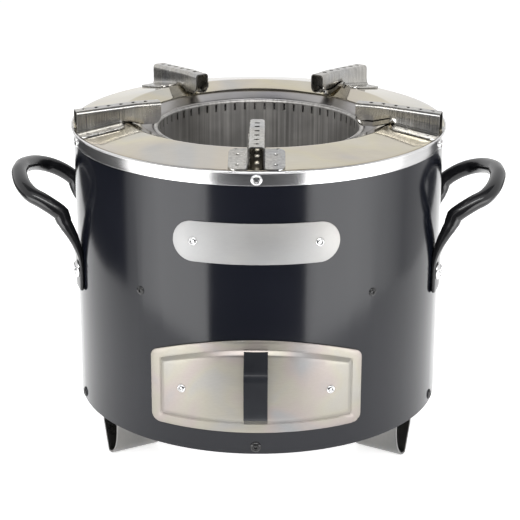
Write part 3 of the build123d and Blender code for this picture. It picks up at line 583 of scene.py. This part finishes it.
makeTopPlate(plateSettings)


# Throat cone: it dips to the firebox, rolls over and ends in a short skirt
coneSettings = {"outer": (96.0, 251.53), "hole": (90.0, 249.49), "inner": (81.3, 245.6),
                "roll": [(0.5, 0.24), (0, -0.05), (-0.4, -0.35), (-0.7, -0.75)], "rollDeep": 1.4,
                "thick": 0.8, "uprightThick": 0.864, "skirt": 239.0, "steps": 240}


def makeThroatCone(settings):
    piece = startPiece("throat_cone_sheet")
    innerR, innerZ = settings["inner"]
    wallR = innerR - settings["thick"]
    drop = settings["uprightThick"]
    outline = [settings["outer"], settings["hole"]]
    outline += [(innerR + across, innerZ + up) for across, up in settings["roll"]]
    outline += [(wallR, innerZ - settings["rollDeep"]), (wallR, settings["skirt"]),
                (innerR, settings["skirt"]), (innerR, innerZ - drop)]
    outline += [(radius, height - drop) for radius, height in (settings["hole"], settings["outer"])]
    drawLine(profilePoints(outline))
    spinLine(settings["steps"])
    finishPiece(piece, "throat_steel", 45)
    putOn(piece, "stove", "throat_cone")


makeThroatCone(coneSettings)


# Handle: a tube bent in a loop, crimped flat where it runs down onto the shell. The strip is given
# as (height, outward, sideways, thickness), the neck as (share of the way, width, thickness)
handleSettings = {"tube": 6.04, "sides": 40, "endWide": 17.5, "endThick": 3.0, "azimuth": 72.0,
                  "seat": 140.05, "endBottom": 127.0, "endCorner": 5.0, "narrowing": 0.3,
                  "strip": [(127.6, 0.0, 0.0, 2.1), (129.0, 0.0, 0.0, 3.0), (132.0, 0.0, 0.0, 3.0),
                            (150.4, 0.0, 0.0, 3.0), (155.0, 0.5, 0.0, 3.8), (160.0, 1.5, 0.2, 5.2),
                            (165.0, 2.9, 0.5, 6.6), (170.0, 4.9, 0.8, 8.0), (175.0, 7.3, 1.2, 9.2)],
                  "neck": [(0.22, 15.4, 10.0), (0.42, 14.6, 10.2), (0.56, 13.2, 11.6),
                           (0.82, 12.4, 12.0)],
                  "neckBow": 0.6, "pathSteps": 7,
                  "knots": [(147.0, 45.2, 187.6), (152.8, 45.5, 192.2), (161.0, 44.2, 197.2),
                            (169.7, 40.8, 201.1), (177.2, 29.5, 205.2), (182.2, 12.0, 208.3),
                            (183.0, 0.0, 208.9)]}


def smoothPath(knots, perSpan):
    # Even curve through the knots, mirrored at the last one
    whole = knots + [Vector((k.x, -k.y, k.z)) for k in reversed(knots[:-1])]
    points = []
    for i in range(len(knots) - 1):
        before = whole[i - 1] if i else whole[0] * 2 - whole[1]
        here, there, after = whole[i], whole[i + 1], whole[i + 2]
        for step in range(perSpan):
            t = step / perSpan
            points.append(0.5 * (2 * here + (there - before) * t
                                 + (2 * before - 5 * here + 4 * there - after) * t ** 2
                                 + (3 * here - before - 3 * there + after) * t ** 3))
    points.append(whole[len(knots) - 1])
    return points


def sectionRing(centre, run, across, wide, thick, sides):
    # Rounded flat section, a circle when it is as wide as it is thick
    run = run.normalized()
    across = (across - run * across.dot(run)).normalized()
    outward = across.cross(run)
    half = max(wide - thick, 0) / 2
    ring = []
    for i in range(sides):
        angle = math.tau * i / sides
        side = half if math.cos(angle) >= 0 else -half
        ring.append(centre + across * (side + thick / 2 * math.cos(angle))
                    + outward * (thick / 2 * math.sin(angle)))
    return ring


def makeHandle(settings, mirrored):
    angle = math.radians(settings["azimuth"])
    out = Vector((math.sin(angle), -math.cos(angle), 0))
    along = Vector((math.cos(angle), math.sin(angle), 0))
    sides, tube = settings["sides"], settings["tube"]
    thick, corner = settings["endThick"], settings["endCorner"]
    seat = settings["seat"] + thick / 2
    stations = []
    for height, outBy, alongBy, deep in settings["strip"]:
        centre = out * (seat + outBy) + along * alongBy + Vector((0, 0, height))
        narrow = max(0.0, corner - (height - settings["endBottom"])) / corner
        shrink = corner * (1 - math.sqrt(max(0.0, 1 - narrow ** 2)))
        broad = settings["endWide"] - 2 * shrink - settings["narrowing"] * max(deep - thick, 0.0)
        stations.append((centre, broad, deep))
    path = smoothPath([Vector((x, -y, z)) for x, y, z in settings["knots"]], settings["pathSteps"])
    strip = stations[-1][0]
    for share, sectionWide, sectionThick in settings["neck"]:
        bow = out * (settings["neckBow"] * math.sin(math.pi * share))
        stations.append((strip.lerp(path[0], share) + bow, sectionWide, sectionThick))
    stations += [(point, 2 * tube, 2 * tube) for point in path]
    last = len(stations) - 1
    bpy.ops.object.select_all(action="DESELECT")
    bpy.ops.mesh.primitive_circle_add(vertices=sides, radius=tube / 1000, fill_type="NGON",
                                      location=(0, 0, 0))
    piece = bpy.context.object
    piece.name = "handle_tube"
    bpy.ops.object.mode_set(mode="EDIT")
    selectAll()
    for number, (centre, sectionWide, sectionThick) in enumerate(stations):
        run = stations[min(number + 1, last)][0] - stations[max(number - 1, 0)][0]
        if number == last:
            run = Vector((0, 1, 0))
        if number:
            bpy.ops.mesh.extrude_region_move()
        ring = sectionRing(centre, run, along, sectionWide, sectionThick, sides)
        placeSelected(piece, [spot / 1000 for spot in ring])
    bpy.ops.mesh.delete(type="ONLY_FACE")
    bpy.ops.object.mode_set(mode="OBJECT")
    applyModifier(piece, "MIRROR", use_axis=(False, True, False), use_clip=True,
                  merge_threshold=0.00005)
    if mirrored:
        piece.data.transform(Matrix.Scale(-1, 4, (1, 0, 0)))
    bpy.ops.object.mode_set(mode="EDIT")
    return piece


for side, name in ((1, "handle_right"), (-1, "handle_left")):
    handle = makeHandle(handleSettings, side < 0)
    finishPiece(handle, "black_gloss", 40)
    handle.name = name + "_tube"
    putOn(handle, "stove", name)


# Rivets: a stamped head with the broken mandrel inside; node, slot and body, then sizes and angles
rivetSettings = {
    "rim": {"node": "rim_rivets", "slot": "rivet_steel", "body": "stove", "head": 4.0, "high": 1.6,
            "bore": 1.25, "seat": 140.95, "height": 242.9, "angles": (0, 72, 144, 216, 288)},
    "base": {"node": "base_rivets", "slot": "black_rivet", "body": "stove", "head": 4.0,
             "high": 1.6, "bore": 1.25, "seat": 140.0, "height": 41.6,
             "angles": (0, 72, 144, 216, 288)},
    "body": {"node": "body_rivets", "slot": "black_rivet", "body": "stove", "head": 3.2,
             "high": 1.2, "bore": 1.0, "seat": 140.0, "height": 151.6,
             "angles": (-36.45, 36.45, 180)},
    "nameplate": {"node": "nameplate_rivets", "slot": "rivet_steel", "body": "stove", "head": 3.2,
                  "high": 1.2, "bore": 1.25, "seat": 140.85, "height": 196.2,
                  "angles": (-18.4, 18.4)},
    "front": {"node": "drawer_front_rivets", "slot": "rivet_steel", "body": "ash_drawer",
              "head": 3.2, "high": 1.2, "bore": 1.25, "seat": 143.3, "height": 84.3,
              "angles": (-22, 22)},
    "handle": {"node": "handle_rivets", "slot": "rivet_steel", "body": "stove", "head": 6.75,
               "high": 3.0, "bore": 1.5, "seat": 143.05, "height": 143.6,
               "angles": (72, 108, 252, 288)},
}
# The dome and its groove in shares of the head, then the bore: past its radius, share of height
headShape = {"sunk": 0.3, "flange": 0.9, "steps": 40,
             "dome": [(0.96, 0), (1.0, 0.12), (0.985, 0.3), (0.9, 0.52), (0.76, 0.74), (0.62, 0.86),
                      (0.6, 0.6), (0.52, 0.6), (0.5, 0.9)],
             "bore": [(0.3, 1.0), (0.1, 0.97), (0, 0.85), (0, 0.2)]}


def makeRivet(settings):
    piece = startPiece("rivet_head")
    head, high, bore = settings["head"], settings["high"], settings["bore"]
    outline = [(0, -headShape["sunk"]), (head * headShape["flange"], -headShape["sunk"])]
    outline += [(head * across, high * up) for across, up in headShape["dome"]]
    outline += [(bore + across, high * up) for across, up in headShape["bore"]]
    outline.append((0, outline[-1][1]))
    drawLine(profilePoints(outline))
    spinLine(headShape["steps"], closed=False)
    finishPiece(piece, settings["slot"], 40)
    toFront = Matrix.Translation((0, -settings["seat"] / 1000, settings["height"] / 1000))
    piece.data.transform(toFront @ Matrix.Rotation(math.radians(90), 4, "X"))
    twins = [copyTurned(piece, "rivet_%d" % i, a) for i, a in enumerate(settings["angles"][1:])]
    piece.data.transform(Matrix.Rotation(math.radians(settings["angles"][0]), 4, "Z"))
    whole = joinPieces([piece] + twins, settings["node"] + "_heads")
    putOn(whole, settings["body"], settings["node"])


for rivetKind in rivetSettings.values():
    makeRivet(rivetKind)


# Nameplate and drawer front are cut flat, pressed, and then curved to the shell
def outlineFace(name, points):
    piece = startPiece(name)
    drawLine(profilePoints(points))
    fillOutline()
    return piece


def cutUpright(halfWide, gap):
    # Upright cuts that let the flat plate bend
    count = int(halfWide / gap)
    for i in range(-count, count + 1):
        cutPlane((i * gap, 0, 0), (1, 0, 0))


def cutLevel(bottom, top, gap):
    # Level cuts that keep the long faces beside the field small
    for i in range(int((top - bottom) / gap)):
        cutPlane((0, 0, bottom + (i + 0.5) * gap), (0, 0, 1))


def curveToShell(piece, inner, outer):
    # The plate's depth, along -Y, is kept as height above its inner radius
    bpy.ops.object.mode_set(mode="OBJECT")
    for vert in piece.data.vertices:
        x, depth, z = vert.co
        angle = math.asin(x * 1000 / outer)
        reach = inner / 1000 - depth
        vert.co = (reach * math.sin(angle), -reach * math.cos(angle), z)
    bpy.ops.object.mode_set(mode="EDIT")


nameplateSettings = {"inner": 140.05, "thick": 0.8, "bottom": 181.2, "top": 211.2, "bendGap": 3,
                     "halfAngle": 24.6, "endShape": 0.93, "endSteps": 24, "edge": 0.3,
                     "edgeRoll": ((0.55, 0.16), (0.3, 0.34), (0.15, 0.5))}


def makeNameplate(settings):
    halfHigh = (settings["top"] - settings["bottom"]) / 2
    middle = (settings["top"] + settings["bottom"]) / 2
    radius = settings["inner"] + settings["thick"]
    halfWide = radius * math.sin(math.radians(settings["halfAngle"]))
    endLong = halfHigh * settings["endShape"]
    points = []
    for start, side in ((-90, 1), (90, -1)):
        for across, up in arcPoints((0, 0), 1, start, start + 180, settings["endSteps"]):
            points.append((side * (halfWide - endLong) + endLong * across, middle + halfHigh * up))
    piece = outlineFace("nameplate_sheet", points)
    edge = settings["edge"] / 1000
    thick = settings["thick"] / 1000
    extrudeBy((0, -thick + edge, 0))
    for step, inward in settings["edgeRoll"]:
        bpy.ops.mesh.inset(thickness=edge * inward, depth=0)
        bpy.ops.transform.translate(value=(0, -edge * step, 0))
    cutUpright(halfWide, settings["bendGap"])
    curveToShell(piece, settings["inner"], radius)
    finishPiece(piece, "plate_aluminium", 40)
    putOn(piece, "stove", "nameplate")


makeNameplate(nameplateSettings)

# Each ring of the drawer front is (inset from the outline, height above the shell)
frontSettings = {"inner": 140.3, "thick": 1.0, "bottom": 53.2, "top": 124.8, "halfAngle": 32.7,
                 "drop": 16.2, "corner": 6.5, "leastCorner": 1.5,
                 "rings": [(0.0, 0.0), (0.0, 0.65), (0.12, 0.88), (0.4, 1.0), (4.0, 1.0),
                           (6.7, 1.0), (6.9, 0.78), (7.4, 0.78), (7.7, 1.05), (8.1, 1.3),
                           (9.9, 2.55), (10.6, 2.88), (11.3, 3.0)],
                 "bendReach": 62, "bendGap": 2.52, "levelGap": 5.1}


def archedOutline(settings, inset):
    radius = settings["inner"] + settings["thick"]
    fullHalf = radius * math.sin(math.radians(settings["halfAngle"]))
    arch = (fullHalf ** 2 + settings["drop"] ** 2) / (2 * settings["drop"])
    half = fullHalf - inset
    bottom = settings["bottom"] + inset
    top = settings["top"] - inset
    corner = max(settings["corner"] - inset, settings["leastCorner"])
    centreZ = top - arch
    points = arcPoints((half - corner, bottom + corner), corner, -90, 0, 6)
    cornerX = half - corner
    reach = arch - corner
    cornerZ = centreZ + math.sqrt(reach ** 2 - cornerX ** 2)
    lean = math.degrees(math.atan2(cornerZ - centreZ, cornerX))
    points += arcPoints((cornerX, cornerZ), corner, 0, lean, 6)
    points += arcPoints((0, centreZ), arch, lean, 180 - lean, 30)[1:-1]
    points += arcPoints((-cornerX, cornerZ), corner, 180 - lean, 180, 6)
    points += arcPoints((-half + corner, bottom + corner), corner, 180, 270, 6)
    return points


def makeDrawerFront(settings):
    piece = outlineFace("drawer_front_sheet", archedOutline(settings, 0))
    for inset, depth in settings["rings"][1:]:
        bpy.ops.mesh.extrude_region_move()
        outline = archedOutline(settings, inset)
        placeSelected(piece, [(x / 1000, -depth / 1000, z / 1000) for x, z in outline])
    cutUpright(settings["bendReach"], settings["bendGap"])
    cutLevel(settings["bottom"], settings["top"], settings["levelGap"])
    curveToShell(piece, settings["inner"], settings["inner"] + settings["thick"])
    finishPiece(piece, "drawer_steel", 40)
    putOn(piece, "ash_drawer", "drawer_front")


makeDrawerFront(frontSettings)


# Pot supports: a folded channel with stamped walls, an open mouth and two welded wings. Straight,
# folded and flared are the foot of a wall as (across, above the lower edge); pairs named In and Out
# are the radii between which a form comes and goes
supportSettings = {
    "half": 5.75, "corner": 2.6, "thick": 0.9, "inner": 77.5, "outer": 141.0, "flat": 95.0,
    "top": 269.3, "endTop": 266.4, "stations": 150, "topCut": 1.6,
    "low": [(85.0, 252.6), (91.0, 252.6), (104.0, 256.0), (106.5, 257.6)], "foot": 108.5,
    "mouth": 7.5,
    "straight": [(5.75, 0.0), (5.75, 0.6), (5.75, 1.6), (5.75, 3.0)],
    "folded": [(2.3, 0.0), (3.7, 0.15), (5.1, 1.25), (5.75, 3.0)],
    "flared": [(7.8, 1.12), (6.8, 1.3), (6.05, 1.9), (5.75, 3.0)],
    "foldIn": (80.0, 87.0), "foldOut": (102.5, 105.5), "flareIn": (107.6, 109.2),
    "ridge": 0.045, "ridgePitch": 1.9, "ridgeIn": (84.0, 100.0), "ridgeOut": (138.0, 140.5),
    "swell": 0.4, "swellTurns": (0.9, 0.37), "ridgeRows": ((0.3, 0.8), (0.55, 1.0), (0.85, 0.7)),
    "slotFirst": 134.5, "slotPitch": 9.3, "slotCount": 6, "slotHalf": 1.9, "slotRound": 1.35,
    "slotFloor": 262.0, "slotDeep": 12.0,
    "wingInner": 107.5, "wingSpan": 19.8, "wingRoot": 6.0, "wingCorner": 6.0, "wingCuts": 9,
    "wingRings": [(0.0, 0.0), (0.0, 0.75), (0.12, 1.0), (0.4, 1.12), (1.2, 1.12)],
    "welds": (118.0, 134.0), "weldAside": 13.0, "weldBall": 1.9, "weldDeep": 0.9, "turn": 72,
}


def plateHeight(radius):
    edgeR, edgeZ = plateSettings["edge"]
    return edgeZ + (edgeR - radius) * math.tan(math.radians(plateSettings["slope"]))


def easeBetween(value, between):
    start, end = between
    share = min(max((value - start) / (end - start), 0.0), 1.0)
    return share * share * (3 - 2 * share)


def lowEdge(settings, radius):
    # Height of a support's lower edge: mouth, belly, notch, foot on the plate
    knots = settings["low"] + [(settings["foot"], plateHeight(settings["foot"]))]
    if radius >= settings["foot"]:
        return plateHeight(radius)
    if radius < knots[0][0]:
        reach = settings["mouth"]
        drop = math.sqrt(max(reach ** 2 - (knots[0][0] - radius) ** 2, 0.0))
        return knots[0][1] + reach - drop
    here, there = next(pair for pair in zip(knots, knots[1:]) if radius <= pair[1][0])
    share = (radius - here[0]) / (there[0] - here[0])
    return here[1] + share * (there[1] - here[1])


def supportSection(settings, radius):
    low = lowEdge(settings, radius)
    fall = (settings["top"] - settings["endTop"]) / (settings["outer"] - settings["flat"])
    top = settings["top"] - max(radius - settings["flat"], 0.0) * fall
    fold = easeBetween(radius, settings["foldIn"]) * (1 - easeBetween(radius, settings["foldOut"]))
    flare = easeBetween(radius, settings["flareIn"])
    fast, slow = settings["swellTurns"]
    swell = settings["swell"] * math.sin(radius * fast) * math.cos(radius * slow)
    ridge = settings["ridge"] * math.sin(math.tau * radius / settings["ridgePitch"])
    ridge *= 1 - settings["swell"] + swell
    ridge *= easeBetween(radius, settings["ridgeIn"])
    ridge *= 1 - easeBetween(radius, settings["ridgeOut"])
    side = []
    for feet in zip(settings["straight"], settings["folded"], settings["flared"]):
        across, up = [plain + fold * (folded - plain) + flare * (flared - plain)
                      for plain, folded, flared in zip(*feet)]
        side.append((across, low + up))
    half, corner = settings["half"], settings["corner"]
    shoulder = top - corner
    wallFoot = side[-1][1]
    for share, weight in settings["ridgeRows"]:
        side.append((half + ridge * weight, wallFoot + (shoulder - wallFoot) * share))
    side += arcPoints((half - corner, shoulder), corner, 0, 90, 6)
    side.append((settings["topCut"], top))
    whole = [(-across, up) for across, up in side] + [(0.0, top)] + side[::-1]
    return [Vector((across, -radius, up)) / 1000 for across, up in whole]


def cutAway(piece, cutter):
    bpy.ops.object.select_all(action="DESELECT")
    bpy.context.view_layer.objects.active = piece
    piece.select_set(True)
    applyModifier(piece, "BOOLEAN", operation="DIFFERENCE", solver="EXACT", object=cutter)
    bpy.data.objects.remove(cutter)


def makeSlotCutter(settings):
    half, bend = settings["slotHalf"], settings["slotRound"]
    floor, deep = settings["slotFloor"] / 1000, settings["slotDeep"] / 1000
    cutters = []
    for i in range(settings["slotCount"]):
        radius = settings["slotFirst"] - i * settings["slotPitch"]
        outline = arcPoints((half - bend, -radius), bend, -90, 90, 8)
        outline += arcPoints((bend - half, -radius), bend, 90, 270, 8)
        cutter = startPiece("slot_cutter")
        drawLine([(x / 1000, y / 1000, floor) for x, y in outline])
        fillOutline()
        extrudeBy((0, 0, deep))
        facesOutward()
        cutters.append(cutter)
    return joinPieces(cutters, "slot_cutter")


def makeChannel(settings):
    channel = startPiece("support_channel")
    count = settings["stations"]
    inner, outer = settings["inner"], settings["outer"]
    drawLine(supportSection(settings, inner))
    selectAll()
    for i in range(1, count + 1):
        bpy.ops.mesh.extrude_region_move()
        placeSelected(channel, supportSection(settings, inner + (outer - inner) * i / count))
    facesOutward()
    highest = max(channel.data.polygons, key=lambda face: face.center.z)
    if highest.normal.z < 0:
        channel.data.flip_normals()
    applyModifier(channel, "SOLIDIFY", thickness=settings["thick"] / 1000, offset=-1)
    cutAway(channel, makeSlotCutter(settings))
    return channel


def wingOutline(settings, inset):
    # Radius and place across, for the wing on the right
    start = settings["wingInner"] + inset
    end = settings["outer"] - inset
    span = settings["wingSpan"] - inset
    corner = settings["wingCorner"] - inset
    return ([(start, settings["wingRoot"])]
            + arcPoints((start + corner, span - corner), corner, 180, 90, 8)
            + arcPoints((end - corner, span - corner), corner, 90, 0, 8)
            + [(end, settings["wingRoot"])])


def makeWing(settings, side):
    slope = math.radians(plateSettings["slope"])
    lift = Vector((0, -math.sin(slope), math.cos(slope)))
    wing = startPiece("support_wing")
    for number, (inset, height) in enumerate(settings["wingRings"]):
        spots = [Vector((side * across, -radius, plateHeight(radius))) + lift * height
                 for radius, across in wingOutline(settings, inset)]
        spots = [spot / 1000 for spot in spots]
        if number:
            bpy.ops.mesh.extrude_region_move()
            placeSelected(wing, spots)
        else:
            drawLine(spots)
            fillOutline()
    root, inner = settings["wingRoot"], settings["wingInner"]
    for i in range(1, settings["wingCuts"]):
        share = i / settings["wingCuts"]
        cutPlane((side * (root + (settings["wingSpan"] - root) * share), 0, 0), (1, 0, 0))
        cutPlane((0, -(inner + (settings["outer"] - inner) * share), 0), (0, 1, 0))
    facesOutward()
    balls = []
    for radius in settings["welds"]:
        rise = settings["wingRings"][-1][1] + settings["weldBall"] - settings["weldDeep"]
        place = Vector((side * settings["weldAside"], -radius, plateHeight(radius))) + lift * rise
        bpy.ops.mesh.primitive_uv_sphere_add(segments=24, ring_count=16, location=place / 1000,
                                             radius=settings["weldBall"] / 1000)
        bpy.ops.object.transform_apply(location=True, rotation=True, scale=True)
        balls.append(bpy.context.object)
    cutAway(wing, joinPieces(balls, "weld_cutter"))
    return wing


def makeSupports(settings):
    wings = [makeWing(settings, side) for side in (1, -1)]
    support = joinPieces([makeChannel(settings)] + wings, "support_sheet")
    bpy.ops.object.mode_set(mode="EDIT")
    finishPiece(support, "support_steel", 32)
    applyModifier(support, "WEIGHTED_NORMAL", keep_sharp=True)
    for name in sorted(node for node in nodes if node.startswith("pot_support_")):
        corners = [nodes[name].matrix_world @ Vector(corner) for corner in nodes[name].bound_box]
        middle = sum(corners, Vector()) / len(corners)
        turns = round(math.degrees(math.atan2(middle.x, -middle.y)) / settings["turn"])
        twin = copyTurned(support, name + "_sheet", settings["turn"] * turns)
        putOn(twin, "stove", name)
    bpy.data.objects.remove(support)


makeSupports(supportSettings)


# Feet: a sheet folded to a leaf-shaped trough, with flanges under the base pan. The points run down
# the straight side and up the round one, as (across, height)
footSettings = {
    "inner": 92.0, "outer": 130.0, "thick": 1.5,
    "angles": {"foot_left": -60, "foot_right": 60, "foot_rear": 180},
    "straightSide": [(17.5, 36.95), (17.5, 35.45), (11.8, 35.45), (11.2, 34.6), (12.2, 32.5),
                     (12.6, 27.0), (12.4, 23.0), (5.2, 2.2), (4.4, 0.6), (3.2, 0.0)],
    "roundSide": [(1.0, 0.0), (-2.4, 0.8), (-6.2, 3.8), (-9.4, 8.4), (-11.6, 13.8), (-12.8, 20.0),
                  (-13.1, 26.0), (-12.6, 32.5), (-11.8, 34.6), (-12.4, 35.45), (-17.5, 35.45),
                  (-17.5, 36.95)],
}


def makeFoot(settings, name, angle):
    thick = settings["thick"]
    line = settings["straightSide"] + settings["roundSide"]
    inner = []
    for before, here, after in zip(line[1:], line[2:-2], line[3:]):
        run = (Vector(after) - Vector(before)).normalized()
        inner.append((here[0] + thick * run.y, here[1] - thick * run.x))
    top = line[0][1]
    inner = [(across, up) for across, up in inner if up < top - thick]
    inner = [(inner[0][0], top)] + inner + [(inner[-1][0], top)]
    side = 1 if angle > 0 else -1
    outline = [(side * across, up) for across, up in line + inner[::-1]]
    piece = startPiece(name + "_sheet")
    drawLine([(across / 1000, -settings["inner"] / 1000, up / 1000) for across, up in outline])
    fillOutline()
    long = (settings["outer"] - settings["inner"]) / 1000
    extrudeBy((0, -long, 0))
    finishPiece(piece, "foot_steel", 40)
    piece.data.transform(Matrix.Rotation(math.radians(angle), 4, "Z"))
    putOn(piece, "stove", name)


for footName, footAngle in footSettings["angles"].items():
    makeFoot(footSettings, footName, footAngle)


# Stage: a white table with a rounded front, two glowing side screens, dark cards and a dark ceiling
def stageMaterial(name, colour, gloss, glow):
    material, tree, shader = startMaterial(name)
    shader.inputs["Base Color"].default_value = (*colour, 1)
    shader.inputs["Roughness"].default_value = 0.9
    shader.inputs["Specular IOR Level"].default_value = gloss
    shader.inputs["Emission Color"].default_value = (1, 1, 1, 1)
    shader.inputs["Emission Strength"].default_value = glow
    return material, tree, shader


tableSettings = {"half": 0.53, "front": 0.40, "back": 2.4, "steps": 24,
                 "colour": (0.93, 0.93, 0.93), "glow": 0.66}


def makeTable(settings):
    half, front = settings["half"], settings["front"]
    points = [(half, settings["back"], 0), (-half, settings["back"], 0), (-half, 0, 0)]
    for i in range(1, settings["steps"]):
        angle = math.pi * i / settings["steps"]
        points.append((-half * math.cos(angle), -front * math.sin(angle), 0))
    points.append((half, 0, 0))
    table = startPiece("table_top")
    drawLine(points)
    fillOutline()
    bpy.ops.object.mode_set(mode="OBJECT")
    material = stageMaterial("white_table", settings["colour"], 0, settings["glow"])[0]
    table.data.materials.append(material)


makeTable(tableSettings)

# The screens are bright near the camera and fade towards the back, from the angle full to the end
screenSettings = {"radius": 1.15, "bottom": -0.6, "top": 0.1, "start": 28.6, "full": 60,
                  "steps": 24, "bright": 4.5}
screenSides = {"screen_left": {"side": -1, "end": 84, "last": 0.7},
               "screen_right": {"side": 1, "end": 96, "last": 1.0}}


def makeScreen(name, settings, side, end, last):
    piece = startPiece(name)
    radius = settings["radius"]
    start = math.radians(settings["start"])
    place = (side * radius * math.sin(start), -radius * math.cos(start))
    drawLine([(*place, settings["bottom"]), (*place, settings["top"])])
    selectAll()
    bpy.ops.mesh.spin(steps=settings["steps"], angle=-side * math.radians(end - settings["start"]),
                      center=(0, 0, 0), axis=(0, 0, 1))
    bpy.ops.object.mode_set(mode="OBJECT")
    material, tree, shader = stageMaterial(name, (0, 0, 0), 0, 0)
    across, along = placeParts(tree)[:2]
    ahead = mathNode(tree, "MULTIPLY", along, -1)
    aside = mathNode(tree, "MULTIPLY", across, side)
    angle = mathNode(tree, "ARCTAN2", aside, ahead)
    fade = spread(tree, angle, settings["bright"], last, math.radians(settings["full"]),
                  math.radians(end))
    tree.links.new(fade, shader.inputs["Emission Strength"])
    piece.data.materials.append(material)
    piece.visible_camera = False


for screenName, screenSide in screenSides.items():
    makeScreen(screenName, screenSettings, **screenSide)

# The cards stand upright, and the ceiling is a card that lies flat
cardSettings = {
    "card_front": {"place": (0, -1.6, -0.1), "size": (1.95, 1.6), "tilt": 90, "turn": 0,
                   "colour": (0.1, 0.1, 0.105)},
    "card_left": {"place": (-0.98, 0.68, -0.25), "size": (1.6, 0.7), "tilt": 90, "turn": 88,
                  "colour": (0.04, 0.04, 0.042)},
    "card_right": {"place": (1.1, 1.1, -0.25), "size": (0.7, 0.7), "tilt": 90, "turn": 88,
                   "colour": (0.06, 0.06, 0.063)},
    "ceiling": {"place": (0, 0.1, 1.7), "size": (2.4, 1.2), "tilt": 0, "turn": 0,
                "colour": (0.1, 0.1, 0.1)},
}


def makeCard(name, settings):
    tilt, turn = math.radians(settings["tilt"]), math.radians(settings["turn"])
    bpy.ops.mesh.primitive_plane_add(size=1, location=settings["place"], rotation=(tilt, 0, turn))
    card = bpy.context.object
    card.name = name
    card.scale = (*settings["size"], 1)
    bpy.ops.object.transform_apply(location=False, rotation=False, scale=True)
    material = stageMaterial(name, settings["colour"], 0.5, 0)[0]
    card.data.materials.append(material)
    card.visible_camera = False


for cardName, card in cardSettings.items():
    makeCard(cardName, card)

# A white world that lights less than it shows
worldSettings = {"light": 0.36, "seen": 1.0}


def makeWorld(settings):
    world = bpy.data.worlds.new("white_studio")
    bpy.context.scene.world = world
    world.use_nodes = True
    tree = world.node_tree
    tree.nodes.clear()
    output = tree.nodes.new("ShaderNodeOutputWorld")
    background = tree.nodes.new("ShaderNodeBackground")
    path = tree.nodes.new("ShaderNodeLightPath")
    seen = mathNode(tree, "MAXIMUM", path.outputs["Is Camera Ray"], path.outputs["Is Glossy Ray"])
    seen = mathNode(tree, "MAXIMUM", seen, path.outputs["Is Transmission Ray"])
    strength = spread(tree, seen, settings["light"], settings["seen"], 0.0, 1.0)
    tree.links.new(strength, background.inputs["Strength"])
    background.inputs["Color"].default_value = (1, 1, 1, 1)
    tree.links.new(background.outputs[0], output.inputs["Surface"])


makeWorld(worldSettings)

lampSettings = {
    "top_light": {"place": (0, 0.2, 1.4), "target": (0, 0, 0), "size": (1.4, 1.4), "power": 10,
                  "spread": 120, "mirrored": False},
    "front_light": {"place": (0, -1.15, 1.1), "target": (0, 0, 0.1), "size": (1.5, 0.2),
                    "power": 4.5, "spread": 120, "mirrored": True},
}


def makeLamp(name, settings):
    data = bpy.data.lights.new(name, "AREA")
    data.shape = "RECTANGLE"
    data.size, data.size_y = settings["size"]
    data.energy = settings["power"]
    data.spread = math.radians(settings["spread"])
    lamp = bpy.data.objects.new(name, data)
    bpy.context.scene.collection.objects.link(lamp)
    lamp.location = settings["place"]
    look = Vector(settings["target"]) - Vector(settings["place"])
    lamp.rotation_euler = look.to_track_quat("-Z", "Y").to_euler()
    lamp.visible_glossy = settings["mirrored"]


for lampName, lamp in lampSettings.items():
    makeLamp(lampName, lamp)
print("stage set")
